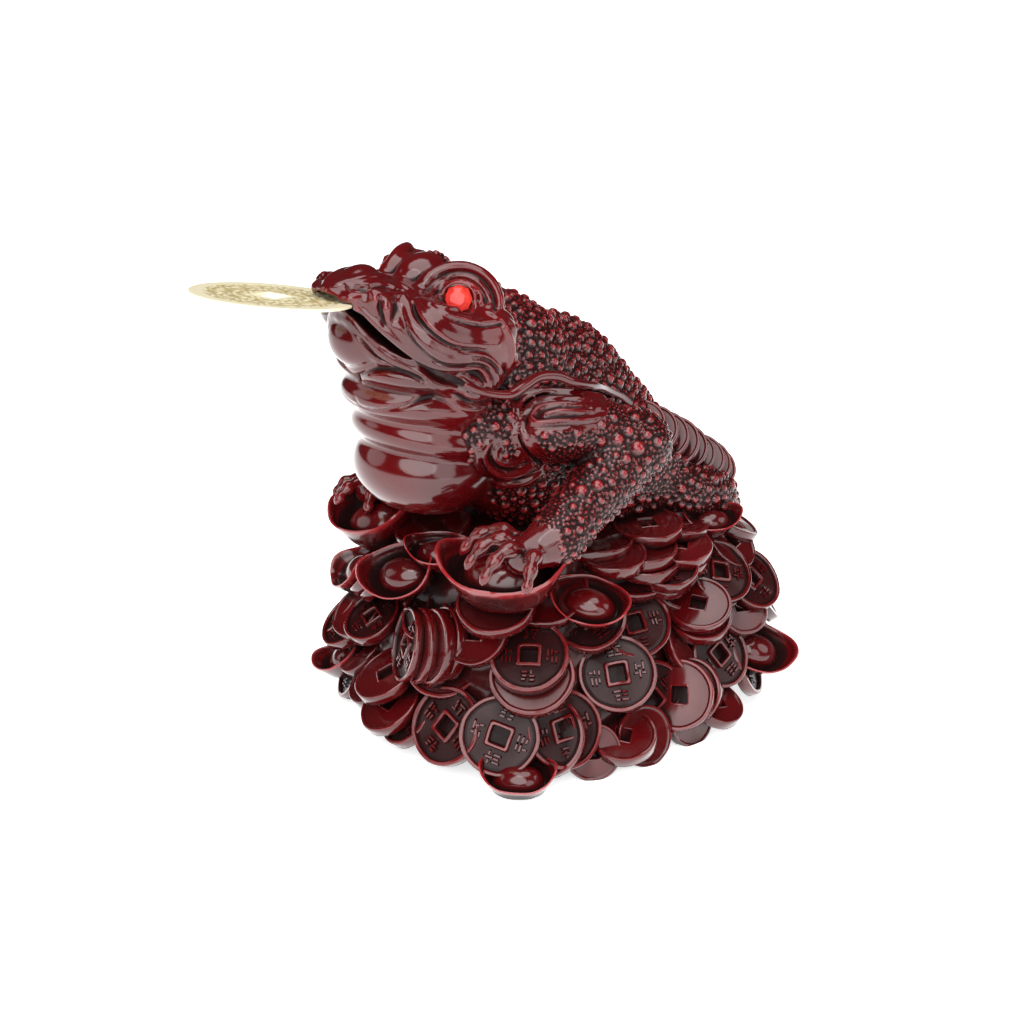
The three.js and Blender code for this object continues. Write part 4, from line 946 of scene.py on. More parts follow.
def seen_on(clay, places, sheet):
    """Where the camera's sight lines through places on the picture meet the clay."""
    back = np.array(bearing_vector(CAMERA["azimuth"], CAMERA["elevation"]))
    right = np.cross((0, 0, 1), back)
    right /= np.linalg.norm(right)
    up = np.cross(back, right)
    focal = PICTURE / 2 / math.tan(math.radians(CAMERA["field"] / 2))
    eye = np.array(CAMERA["target"]) + back * CAMERA["distance"]
    seen = np.array(places, float) / sheet["scale"] + sheet["corner"] - PICTURE / 2
    way = -back + (right * seen[:, :1] - up * seen[:, 1:]) / focal
    way /= np.linalg.norm(way, axis=1, keepdims=True)
    steps = np.arange(CAMERA["distance"] - SIGHT_REACH, CAMERA["distance"] + SIGHT_REACH, clay.cell)
    met = []
    for w in way:
        line = eye + steps[:, None] * w
        depth = clay.at(line)
        inside = np.nonzero(depth < 0)[0]
        met.append(line[inside[0] if len(inside) else depth.argmin()])
    return clay.onto_skin(met)


def skin_line(clay, points, sheet, sunk):
    """A line placed by sight, evened, laid on the skin and kept on the side seen."""
    line = evened(seen_on(clay, smooth_line(points, LINE_POINTS), sheet), passes=4)
    line = evened(clay.onto_skin(line, sunk), passes=2)
    line[:, 0] = np.maximum(line[:, 0], 0)
    return line


def carve_lines(clay, ridges, grooves, sheet):
    """Raised and carved lines, placed by sight on the side seen and mirrored to the other."""
    strands = []
    for points, radii, soft, sunk in ridges:
        strands.append((skin_line(clay, points, sheet, sunk), radii, soft, False))
    for points, radii, sunk in grooves:
        strands.append((skin_line(clay, points, sheet, sunk), radii, GROOVE_SOFTNESS, True))
    strands = [(line, [LINE_GAIN * r for r in radii], soft, carve) for line, radii, soft, carve in strands]
    for line, radii, soft, carve in strands:
        for side in (1, -1):
            add_strand(clay, line * (side, 1, 1), radii, soft, carve)
    return [row[0] * (side, 1, 1) for row in strands for side in (1, -1)]


def open_mouth(clay, line):
    """Cuts the mouth along its line, and inward from it."""
    radii = spread(MOUTH_RADII, len(line))
    for side in (1, -1):
        row = line * (side, 1, 1)
        inward = row + np.array(MOUTH_INWARD) * (side, 1, 1)
        inward[:, 0] = np.where(row[:, 0] * inward[:, 0] < 0, 0, inward[:, 0])
        inner = MOUTH_NARROWING * radii
        for i in range(len(row) - 1):
            clay.cut(limb(row[i], row[i + 1], radii[i], radii[i + 1]), MOUTH_SOFTNESS)
            clay.cut(limb(inward[i], inward[i + 1], inner[i], inner[i + 1]), MOUTH_SOFTNESS)
            clay.cut(limb(row[i], inward[i], radii[i], inner[i]), MOUTH_SOFTNESS)


def head_clay():
    clay = Clay(*HEAD_BOX, HEAD_CELL)
    add_masses(clay, HEAD_MASSES)
    for centre, size, turn, soft in HEAD_HOLLOWS:
        clay.cut(egg(centre, size, turn), soft)
    add_masses(clay, HEAD_LOBES)
    mouth = seen_on(clay, smooth_line(MOUTH_LINE, MOUTH_POINTS), HEAD_SHEET)
    centre, size = NECK_CUT
    for side in (1, -1):
        clay.cut(egg((side * centre[0], centre[1], centre[2]), size), EDGE_SOFTNESS)
        add_strand(clay, smooth_line(HOOD_LINE) * (side, 1, 1), HOOD_RADII, STRAND_SOFTNESS)
    carve_lines(clay, HEAD_RIDGES, HEAD_GROOVES, HEAD_SHEET)
    add_eyes(clay)
    open_mouth(clay, mouth)
    cut_brass_room(clay)
    return clay


def cut_brass_room(clay):
    move = face_matrix(BRASS_PLACE["at"], BRASS_PLACE["face"], (0, 1, 0))
    lifted = move @ Matrix.Translation((0, 0, BRASS_THICKNESS / 2 + BRASS_GAP))
    clay.cut(disc(lifted, BRASS_DIAMETER / 2 + BRASS_GAP, BRASS_THICKNESS + 2 * BRASS_GAP), BED_SOFTNESS)


def body_clay():
    """The clay of the body, the lines carved on its shoulders and the big warts of its arm."""
    clay = Clay(*BODY_BOX, BODY_CELL)
    add_masses(clay, BODY_MASSES)
    add_limbs(clay, BODY_LIMBS)
    seen = np.array(ARM_WARTS, float)
    warts = seen_on(clay, seen[:, :2], ARM_SHEET)
    sizes = seen[:, 2] / ARM_SHEET["scale"] / PIXELS_PER_MM
    for points in TOES:
        add_strand(clay, smooth_line(points, TOE_POINTS), TOE_RADII, STRAND_SOFTNESS)
    lines = carve_lines(clay, ARM_RIDGES, ARM_GROOVES, ARM_SHEET)
    return clay, np.vstack(lines), (warts, sizes)


def wart_centres(points, size_at, seed, set_warts):
    """The warts listed, and others spread between them, each with the radius that its place asks for."""
    radii = size_at(points)
    if set_warts:
        points = np.vstack([points, set_warts[0]])
        radii = np.concatenate([radii, set_warts[1]])
    order = np.random.default_rng(seed).permutation(len(points))
    order = order[np.argsort(-radii[order], kind="stable")]
    taken = {}
    kept = []
    for i in order:
        r = radii[i]
        if r <= 0:
            continue
        p = points[i]
        key = tuple(int(v // WART_SEARCH_CELL) for v in p)
        near = (j for step in product((-1, 0, 1), repeat=3)
                for j in taken.get((key[0] + step[0], key[1] + step[1], key[2] + step[2]), ()))
        if not any(np.dot(points[j] - p, points[j] - p) < (WART_GAP * (radii[j] + r)) ** 2 for j in near):
            taken.setdefault(key, []).append(i)
            kept.append(i)
    return points[kept], radii[kept]


def random_of(points):
    """An even random value for each place, the same in every run."""
    mixed = np.sin(points @ np.array(MIX_FACTORS)) * MIX_GAIN
    return mixed - np.floor(mixed)


def tree_of(points):
    """The points in a tree that finds the nearest ones."""
    tree = KDTree(len(points))
    for i, p in enumerate(points):
        tree.insert(p, i)
    tree.balance()
    return tree


def raise_warts(points, normals, centres, radii):
    """The points moved out at each wart, and how far each lies on a wart's top and in the moat round it."""
    tree = tree_of(centres)
    height = np.zeros(len(points))
    top = np.zeros(len(points))
    moat = np.zeros(len(points))
    for n, p in enumerate(points):
        best, size = math.inf, 1.0
        for _, i, away in tree.find_n(p, WARTS_WEIGHED):
            u = away / radii[i]
            if u < best:
                best, size = u, radii[i]
        if best < 1:
            height[n] = WART_HEIGHT * size * (1 - best ** 3)
            top[n] = 1 - best ** 4
        elif best < 1 + WART_MOAT_WIDTH:
            dip = math.sin(math.pi * (best - 1) / WART_MOAT_WIDTH)
            height[n] = -WART_MOAT_DEPTH * size * dip
            moat[n] = dip
    return points + normals * height[:, None], top, moat


# Meshes


def mesh_of(name, points, faces):
    """A mesh object in metres from points in millimetres and faces of one size."""
    faces = np.asarray(faces, np.int32)
    count, corners = faces.shape
    mesh = bpy.data.meshes.new(name)
    mesh.vertices.add(len(points))
    mesh.vertices.foreach_set("co", (np.asarray(points) * MM).astype(np.float32).ravel())
    mesh.loops.add(count * corners)
    mesh.loops.foreach_set("vertex_index", faces.ravel())
    mesh.polygons.add(count)
    mesh.polygons.foreach_set("loop_start", np.arange(0, count * corners, corners, dtype=np.int32))
    mesh.polygons.foreach_set("use_smooth", np.ones(count, bool))
    mesh.update(calc_edges=True)
    mesh.validate()
    piece = bpy.data.objects.new(name, mesh)
    bpy.context.scene.collection.objects.link(piece)
    return piece


def points_of(piece):
    co = np.zeros(len(piece.data.vertices) * 3, np.float32)
    piece.data.vertices.foreach_get("co", co)
    return co.reshape(-1, 3).astype(float) / MM


def set_points(piece, points):
    piece.data.vertices.foreach_set("co", (points * MM).astype(np.float32).ravel())
    piece.data.update()


def normals_of(piece):
    values = np.zeros(len(piece.data.vertices) * 3, np.float32)
    piece.data.vertex_normals.foreach_get("vector", values)
    return values.reshape(-1, 3).astype(float)


def set_values(piece, name, values):
    attribute = piece.data.attributes.get(name) or piece.data.attributes.new(name, "FLOAT", "POINT")
    attribute.data.foreach_set("value", np.asarray(values, np.float32))


def values_of(piece, name):
    values = np.zeros(len(piece.data.vertices), np.float32)
    piece.data.attributes[name].data.foreach_get("value", values)
    return values.astype(float)


def baked(piece):
    """The piece with its modifiers made into its mesh."""
    bpy.context.view_layer.update()
    made = bpy.data.meshes.new_from_object(piece.evaluated_get(bpy.context.evaluated_depsgraph_get()))
    piece.modifiers.clear()
    old = piece.data
    piece.data = made
    bpy.data.meshes.remove(old)
    return piece


def thinned(piece, triangles):
    """The piece with no more than so many triangles."""
    count = sum(len(p.vertices) - 2 for p in piece.data.polygons)
    if count > triangles:
        modifier = piece.modifiers.new("thin", "DECIMATE")
        modifier.ratio = triangles / count
        modifier.use_collapse_triangulate = True
        baked(piece)
    piece.data.validate()
    return piece


def carried(values, old_points, new_points):
    """Values at the old points, carried to the nearest new ones."""
    tree = tree_of(old_points)
    nearest = [tree.find(p)[1] for p in new_points]
    return [v[nearest] for v in values]


def rings_mesh(rings):
    """Points and quads of a closed body through rings of points, its first and last ring being one place."""
    sides = len(rings[0])
    points = np.vstack(rings)
    faces = []
    for r in range(len(rings) - 1):
        for s in range(sides):
            t = (s + 1) % sides
            faces.append((r * sides + s, r * sides + t, (r + 1) * sides + t, (r + 1) * sides + s))
    return points, faces


# Room round the pieces, which sets the painted shade between them


class Room:
    """How closed in each place is, from a coarse grid of all that is solid, the ground too; it is painted as
    shade.
    """

    # For gaps near a place and further off: cells of blur, reach in millimetres, the share of what is solid
    # where the painted shade begins, the span over which it grows, and its strength
    NEAR = (1, 1.4, 0.22, 0.5, 0.55)
    WIDE = (3, 3.5, 0.3, 0.45, 0.6)
    CORE_SLOPE = 30

    def __init__(self):
        clay = Clay(*ROOM_BOX, ROOM_CELL)
        add_masses(clay, BODY_MASSES)
        add_limbs(clay, BODY_LIMBS)
        add_masses(clay, HEAD_MASSES)
        for points in TOES:
            add_strand(clay, smooth_line(points, 6), (2.2, 1.8), 0.5)
        for matrix, radius, _ in coin_places() + string_places():
            clay.add(disc(matrix, radius, COIN_THICKNESS), 0)
        for matrix, radius in ingot_places():
            clay.add(disc(matrix, 0.8 * radius, 0.5 * radius), 0)
        x, y, z = clay.axes
        half_x = HEAP["half_x"] - HEAP["lean_x"] * z - HEAP["inset"]
        half_y = HEAP["half_y"] - HEAP["lean_y"] * z - HEAP["inset"]
        power = HEAP["squareness"]
        share = (np.abs(x[:, None, None] / half_x) ** power
                 + np.abs((y[None, :, None] - HEAP["middle_y"]) / half_y) ** power) ** (1 / power)
        core = np.where((z < HEAP["top"])[None, None, :], (share - 1) * self.CORE_SLOPE, Clay.FAR)
        clay.field = np.minimum(clay.field, core).astype(np.float32)
        clay.field[:, :, z < 0] = -1
        self.clay = clay
        solid = np.clip(0.5 - clay.field / ROOM_CELL, 0, 1).astype(np.float32)
        self.blurs = [(blurred(solid, rule[0]), *rule[1:]) for rule in (self.NEAR, self.WIDE)]

    def closed(self, points, normals):
        """From 0 in the open to 1 deep between pieces and by the ground: the strength of the painted shade.
        """
        dark = 0
        for field, reach, start, span, strength in self.blurs:
            filled = sampled(field, self.clay.low, self.clay.cell, points + normals * reach)
            dark = dark + np.clip((filled - start) / span, 0, 1) * strength
        return dark


def shaded(piece, room, own=None):
    """The piece with its darkness: black paint and painted shade in its own hollows, painted shade between
    the pieces.
    """
    # closed: painted shade where other pieces and the ground close round a place
    closed = room.closed(points_of(piece), normals_of(piece))
    wash = closed if own is None else 1 - (1 - np.clip(closed, 0, 1)) * (1 - np.clip(own, 0, 1))
    set_values(piece, "wash", np.clip(wash, 0, 1))


# Materials


class Value:
    """A number socket in a node tree, with Python's sums as Math nodes."""

    def __init__(self, nodes, socket):
        self.nodes = nodes
        self.socket = socket

    def _join(self, operation, first, second):
        return Value(self.nodes, self.nodes.add("ShaderNodeMath", {"operation": operation},
                                                {0: first, 1: second}).outputs[0])

    def __add__(self, other):
        return self._join("ADD", self, other)

    __radd__ = __add__

    def __sub__(self, other):
        return self._join("SUBTRACT", self, other)

    def __rsub__(self, other):
        return self._join("SUBTRACT", other, self)

    def __mul__(self, other):
        return self._join("MULTIPLY", self, other)

    def between(self, low, high):
        """0 below low, 1 above high, and a soft step between."""
        node = self.nodes.add("ShaderNodeMapRange", {"interpolation_type": "SMOOTHSTEP"},
                              {0: self, 1: low, 2: high})
        return Value(self.nodes, node.outputs[0])


class Nodes:
    """The nodes of one material."""

    def __init__(self, name):
        self.material = bpy.data.materials.new(name)
        self.material.use_nodes = True
        self.tree = self.material.node_tree
        self.tree.nodes.clear()
        self.shader = self.add("ShaderNodeBsdfPrincipled")
        self.add("ShaderNodeOutputMaterial", {}, {"Surface": self.shader.outputs[0]})

    def add(self, kind, settings=None, inputs=None):
        node = self.tree.nodes.new(kind)
        for name, value in (settings or {}).items():
            setattr(node, name, value)
        for name, value in (inputs or {}).items():
            self.feed(node.inputs[name], value)
        return node

    def feed(self, socket, value):
        if isinstance(value, Value):
            value = value.socket
        if isinstance(value, bpy.types.NodeSocket):
            self.tree.links.new(value, socket)
        else:
            socket.default_value = value

    def shade(self, **values):
        for name, value in values.items():
            self.feed(self.shader.inputs[name.replace("_", " ")], value)

    def attribute(self, name):
        return Value(self, self.add("ShaderNodeAttribute", {"attribute_name": name}).outputs["Fac"])

    def place(self):
        return self.add("ShaderNodeTexCoord").outputs["Object"]

    def noise(self, scale, detail):
        node = self.add("ShaderNodeTexNoise", {}, {"Vector": self.place(), "Scale": scale, "Detail": detail})
        return Value(self, node.outputs[0])

    def cells(self, scale):
        node = self.add("ShaderNodeTexVoronoi", {}, {"Vector": self.place(), "Scale": scale})
        return Value(self, node.outputs["Distance"])

    def mix(self, factor, first, second):
        node = self.add("ShaderNodeMix", {"data_type": "RGBA"}, {0: factor})
        self.feed(node.inputs[6], first)
        self.feed(node.inputs[7], second)
        return node.outputs[2]

    def bump(self, height, depth, strength):
        inputs = {"Height": height, "Distance": depth, "Strength": strength}
        return self.add("ShaderNodeBump", {}, inputs).outputs[0]


def tinted(colour, tint):
    return (*(c * t for c, t in zip(colour, tint)), 1)


def resin_material(red, worn_and_highlighted, shade_and_wash_colour):
    """Deep red cast resin under gloss lacquer; rubbed edges with painted highlights, hollows with black paint
    and painted shade.
    """
    n = Nodes("dark_red_resin")
    wash = n.attribute("wash")
    wear = n.attribute("wear")
    skin = n.attribute("skin")
    cloud = n.noise(scale=55, detail=4)
    fine = n.noise(scale=900, detail=3)
    body = n.mix(cloud.between(0.3, 0.7), (*red, 1), tinted(red, RESIN_CLOUD))
    # bright: rubbed edges and wart tops, lighter with painted highlights
    bright = n.mix((wear + (fine - 0.5) * 0.5 + (cloud - 0.5) * 0.4).between(0.2, 1.0), body, (*worn_and_highlighted, 1))
    # dark: black paint and painted shade in hollows and between pieces, with grain on the skin
    dark = (wash + (cloud - 0.5) * 0.35 + (fine - 0.5) * skin * 0.5).between(0.18, 0.8)
    n.shade(Base_Color=n.mix(dark, bright, (*shade_and_wash_colour, 1)))
    n.shade(Roughness=0.12 + dark * 0.2 + (fine - 0.5) * 0.05)
    n.shade(Specular_IOR_Level=0.08, Coat_Roughness=0.13, Coat_IOR=1.55, IOR=1.5)
    n.shade(Coat_Weight=0.95 - dark * 0.88)
    grain = n.cells(scale=1500) * skin + n.noise(scale=260, detail=2) * 0.5
    n.shade(Normal=n.bump(grain, depth=RESIN_GRAIN, strength=0.55))
    return n.material


def brass_material(colour):
    """Pale rubbed brass, with painted shade in the hollows of its relief."""
    n = Nodes("pale_brass")
    wash = n.attribute("wash")
    cloud = n.noise(scale=140, detail=4)
    # dark: painted shade in the sunk parts of the relief
    dark = (wash * 0.8 + (cloud - 0.5) * 0.5).between(0.1, 0.9)
    n.shade(Base_Color=n.mix(dark, (*colour, 1), tinted(colour, BRASS_PAINTED_SHADE)))
    n.shade(Metallic=0.4, Roughness=0.36 + dark * 0.15)
    n.shade(Normal=n.bump(n.noise(scale=1600, detail=3), depth=BRASS_GRAIN, strength=0.4))
    return n.material


def gem_material(colour):
    """Clear red cut stone with a painted glow, standing in for the light that a foiled back throws back."""
    n = Nodes("red_gem")
    cloud = n.noise(scale=700, detail=2)
    n.shade(Base_Color=n.mix(cloud.between(0.35, 0.65), GEM_DARK, GEM_LIGHT))
    n.shade(Roughness=0.08, Coat_Weight=0.1, Coat_Roughness=0.02, IOR=1.6, Specular_IOR_Level=0.25)
    # painted glow: the gem lights itself, as light off a foiled back would
    n.shade(Emission_Color=(*colour, 1), Emission_Strength=GEM_PAINTED_GLOW)
    return n.material


def floor_material(colour):
    """A pale floor that glows a little, so that it stays white under the figure."""
    n = Nodes("pale_floor")
    cloud = n.noise(scale=3, detail=2) * 0.04
    n.shade(Base_Color=n.mix(cloud, (*colour, 1), FLOOR_CLOUD), Roughness=0.6)
    n.shade(Emission_Color=WHITE, Emission_Strength=FLOOR_GLOW)
    return n.material


def dressed(piece, material, slot_name, *nodes):
    """The finished piece: its material, its body and the solids that it stands for; its slot is not used."""
    piece.data.materials.clear()
    piece.data.materials.append(material)
    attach(piece, BODY)
    if nodes:
        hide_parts(*nodes)
    return piece


# The coins and ingots of the heap


def squared(angle):
    """How far out a square of half width 1 lies at an angle."""
    return 1 / max(abs(math.cos(angle)), abs(math.sin(angle)))


def turned(profile, sides, place_at):
    """Points, faces, darkness (black paint, painted shade) and brightness (rubbing, painted highlight) of a
    body with a ring of points for each row of its profile.
    """
    rings, wash, wear = [], [], []
    for *row, dark, worn_and_highlighted in profile:
        rings.append([place_at(s, *row) for s in range(sides)])
        wash += [dark] * sides
        wear += [worn_and_highlighted] * sides
    points, faces = rings_mesh(rings)
    return points, faces, wash, wear


def pattern_piece(name, points, faces, wash, wear, sharp):
    """A pattern in units of its radius, to be set many times over."""
    piece = mesh_of(name, np.array(points) / MM, faces)
    # own: black paint and painted shade in the recesses; the next one: rubbing with painted highlights
    set_values(piece, "own", wash)
    set_values(piece, "wear", wear)
    closed_up(piece)
    piece.data.set_sharp_from_angle(angle=math.radians(sharp))
    return piece


def coin_mesh(name, framed, seed):
    """A cast coin of radius 1, its thickness in millimetres below its face."""

    def place_at(s, radius, z, square):
        a = 2 * math.pi * (s + 0.5) / COIN_SEGMENTS
        r = radius * (squared(a) if square else 1)
        return r * math.cos(a), r * math.sin(a), z

    profile = COIN_EDGE + (FRAMED_FACE if framed else PLAIN_FACE)
    points, faces, wash, wear = turned(profile, COIN_SEGMENTS, place_at)
    points = list(map(tuple, points))
    if framed:
        add_strokes(points, faces, wash, wear, seed)
    return pattern_piece(name, points, faces, wash, wear, COIN_SHARP)


def add_strokes(points, faces, wash, wear, seed):
    """Four groups of short raised strokes round the hole: rows of bars that spell nothing."""
    box = ((3, 2, 1, 0), (4, 5, 6, 7), (0, 1, 5, 4), (1, 2, 6, 5), (2, 3, 7, 6), (3, 0, 4, 7))
    for quarter, row, column in product(range(4), range(STROKE["rows"]), range(STROKE["columns"])):
        turn = quarter * math.pi / 2
        pick = seed * 17 + quarter * 7 + row * 3 + column
        wide = STROKE["long"] + STROKE["long_stray"] * stray(pick)
        thin = STROKE["thin"]
        if stray(pick + 0.5) > STROKE["cross_above"]:
            wide, thin = thin, STROKE["cross"]
        x = STROKE["out"] + STROKE["step"] * (row - 1) + STROKE["out_stray"] * stray(pick + 0.2)
        y = STROKE["step"] * (2 * column - 1) + STROKE["side_stray"] * stray(pick + 0.3)
        start = len(points)
        for z, grow, dark, worn_and_highlighted in STROKE_LEVELS:
            for u, v in ((-1, -1), (1, -1), (1, 1), (-1, 1)):
                px, py = x + u * thin * grow, y + v * wide * grow
                points.append((px * math.cos(turn) - py * math.sin(turn),
                               px * math.sin(turn) + py * math.cos(turn), z))
                wash.append(dark)
                wear.append(worn_and_highlighted)
        faces.extend(tuple(start + i for i in f) for f in box)


def ingot_mesh(name):
    """A boat-shaped ingot of half length 1: raised ends along X, a basin and a dome in the middle."""

    def place_at(s, share, z, rise):
        a = 2 * math.pi * s / INGOT_SEGMENTS
        return share * math.cos(a), share * INGOT_WIDTH * math.sin(a), z + rise * math.cos(a) ** 4

    return pattern_piece(name, *turned(INGOT_PROFILE, INGOT_SEGMENTS, place_at), CAST_SHARP)


def scatter_tree(patterns, material):
    """Geometry nodes that set a pattern on each point, turned and sized as the point's attributes say."""
    tree = bpy.data.node_groups.new("scatter", "GeometryNodeTree")
    tree.interface.new_socket("Geometry", in_out="INPUT", socket_type="NodeSocketGeometry")
    size = tree.interface.new_socket("Size", in_out="INPUT", socket_type="NodeSocketFloat")
    size.default_value = 1.0
    tree.interface.new_socket("Geometry", in_out="OUTPUT", socket_type="NodeSocketGeometry")
    new = tree.nodes.new
    link = tree.links.new
    source, sink = new("NodeGroupInput"), new("NodeGroupOutput")
    parts = new("GeometryNodeGeometryToInstance")
    for pattern in reversed(patterns):
        info = new("GeometryNodeObjectInfo")
        info.inputs["Object"].default_value = pattern
        info.transform_space = "ORIGINAL"
        link(info.outputs["Geometry"], parts.inputs[0])
    place = new("GeometryNodeInstanceOnPoints")
    place.inputs["Pick Instance"].default_value = True
    named = {}
    for name, kind in (("kind", "INT"), ("turn", "QUATERNION"), ("scale", "FLOAT_VECTOR")):
        named[name] = new("GeometryNodeInputNamedAttribute")
        named[name].data_type = kind
        named[name].inputs["Name"].default_value = name
    grow = new("ShaderNodeVectorMath")
    grow.operation = "SCALE"
    link(named["scale"].outputs["Attribute"], grow.inputs[0])
    link(source.outputs["Size"], grow.inputs["Scale"])
    link(source.outputs["Geometry"], place.inputs["Points"])
    link(parts.outputs[0], place.inputs["Instance"])
    link(named["kind"].outputs["Attribute"], place.inputs["Instance Index"])
    link(named["turn"].outputs["Attribute"], place.inputs["Rotation"])
    link(grow.outputs[0], place.inputs["Scale"])
    realize, paint = new("GeometryNodeRealizeInstances"), new("GeometryNodeSetMaterial")
    paint.inputs["Material"].default_value = material
    link(place.outputs[0], realize.inputs[0])
    link(realize.outputs[0], paint.inputs[0])
    link(paint.outputs[0], sink.inputs[0])
    return tree


def scattered(name, patterns, rows, material):
    """One mesh of the patterns set at rows of matrix, scale in millimetres and pattern number."""
    mesh = bpy.data.meshes.new(name)
    mesh.from_pydata([m.translation * MM for m, _, _ in rows], [], [])
    for attribute, kind in (("turn", "QUATERNION"), ("scale", "FLOAT_VECTOR"), ("kind", "INT")):
        mesh.attributes.new(attribute, kind, "POINT")
    for i, (matrix, scale, pick) in enumerate(rows):
        mesh.attributes["turn"].data[i].value = matrix.to_quaternion()
        mesh.attributes["scale"].data[i].vector = [s * MM for s in scale]
        mesh.attributes["kind"].data[i].value = pick
    piece = bpy.data.objects.new(name, mesh)
    bpy.context.scene.collection.objects.link(piece)
    modifier = piece.modifiers.new("scatter", "NODES")
    modifier.node_group = scatter_tree(patterns, material)
    for item in modifier.node_group.interface.items_tree:
        if item.item_type == "SOCKET" and item.name == "Size":
            modifier[item.identifier] = 1.0
    baked(piece)
    for pattern in patterns:
        bpy.data.objects.remove(pattern)
    return piece


# Add-on


class ToadSizes(bpy.types.PropertyGroup):
    """Sizes of the finish."""

    ridge_warts: bpy.props.FloatProperty(
        name="Back warts", description="Radius of the warts along the back", default=0.85 * MM, unit="LENGTH")
    arm_warts: bpy.props.FloatProperty(
        name="Arm warts", description="Radius of the warts on the arms", default=1.15 * MM, unit="LENGTH")
    relief: bpy.props.FloatProperty(
        name="Brass relief", description="Height of the brass coin's pattern", default=0.16 * MM,
        unit="LENGTH")


class ToadColours(bpy.types.PropertyGroup):
    """Colours of the finish."""

    red: bpy.props.FloatVectorProperty(
        name="Resin", description="Colour of the cast resin", default=(0.038, 0.0013, 0.0018),
        subtype="COLOR")
    # Colour of the rubbed edges, with painted highlights on them
    worn_and_highlighted: bpy.props.FloatVectorProperty(
        name="Edges", description="Colour of the resin along its edges", default=(0.2, 0.012, 0.014),
        subtype="COLOR")
    # Colour of the black paint in the hollows, and of the painted shade there and between pieces
    wash: bpy.props.FloatVectorProperty(
        name="Wash", description="Colour left in the hollows", default=(0.009, 0.0025, 0.0025),
        subtype="COLOR")
    brass: bpy.props.FloatVectorProperty(
        name="Brass", description="Colour of the loose coin", default=(0.86, 0.78, 0.54), subtype="COLOR")
    # Also the colour of the gems' painted glow
    gem: bpy.props.FloatVectorProperty(
        name="Gems", description="Colour of the eyes", default=(0.85, 0.05, 0.036), subtype="COLOR")
    floor: bpy.props.FloatVectorProperty(
        name="Floor", description="Colour of the floor", default=(0.92, 0.92, 0.92), subtype="COLOR")


class Workshop:
    """What the operators share while the figure is made."""

    room = None
    resin = None


def shared():
    if Workshop.room is None:
        colours = bpy.context.scene.toad_colours
        Workshop.room = Room()
        Workshop.resin = resin_material(tuple(colours.red), tuple(colours.worn_and_highlighted), tuple(colours.wash))
    return Workshop.room, Workshop.resin


def folds(clay, points):
    """How far each point lies in a fold, and how far on a ridge, from 0 to 1, read from the grid."""
    solid = np.clip(0.5 - clay.field / clay.cell, 0, 1).astype(np.float32)
    mean = sampled(blurred(solid, 2), clay.low, clay.cell, points)
    fold = np.clip((mean - FOLD_SPAN[0]) / FOLD_SPAN[1], 0, 1)
    return fold, np.clip((RIDGE_SPAN[0] - mean) / RIDGE_SPAN[1], 0, 1)


def carved_piece(name, clay, size_at, seed, room, set_warts=None):
    """A skin drawn from clay, with its warts, thinned, and marked with painted shade and painted highlights.
    """
    clay.field = blurred(clay.field, 1, 1)
    points, faces = surface_of(clay.field, clay.low, clay.cell)
    normals = clay.normals(points)
    hollow, ridge = folds(clay, points)
    centres, radii = wart_centres(points, size_at, seed, set_warts)
    skin = (size_at(points) > 0).astype(float)
    raised, top, moat = points, np.zeros(len(points)), np.zeros(len(points))
    if len(centres):
        raised, top, moat = raise_warts(points, normals, centres, radii)
    # own: black paint and painted shade in folds, between the warts and in the moats round them
    own = np.clip(hollow + skin * (PIT_SHADE_AND_WASH - PIT_SHADE_AND_WASH * top) + MOAT_SHADE_AND_WASH * moat * skin, 0, 1)
    # rubbed ridges and wart tops, lighter with painted highlights
    wear = np.clip(RIDGE_WEAR_AND_HIGHLIGHT * ridge * (1 - skin) + WART_WEAR_AND_HIGHLIGHT * np.clip(2 * top - 1, 0, 1), 0, 1)
    piece = thinned(mesh_of(name, raised, faces), SKIN_TRIANGLES)
    own, wear, skin = carried((own, wear, skin), raised, points_of(piece))
    shaded(piece, room, own)
    set_values(piece, "wear", wear)
    set_values(piece, "skin", skin)
    return piece


class TOAD_OT_head(bpy.types.Operator):
    """Carve the head, throat and pouch"""

    bl_idname = "toad.head"
    bl_label = "Head"

    def execute(self, context):
        room, resin = shared()
        sizes = context.scene.toad_sizes
        radius = sizes.ridge_warts / MM

        def size_at(p):
            x, y, z = np.abs(p[:, 0]), p[:, 1], p[:, 2]
            behind = (y > HEAD_WARTS["behind"]) & (z > HEAD_WARTS["above"])
            crown = (x < CROWN_WARTS["half"]) & (y > CROWN_WARTS["behind"]) & (z > CROWN_WARTS["above"])
            return np.where(behind | crown, radius, 0.0)

        piece = carved_piece("toad_head", head_clay(), size_at, HEAD_WART_SEED, room)
        dressed(piece, resin, "resin", CASTING_NODE)
        return {"FINISHED"}


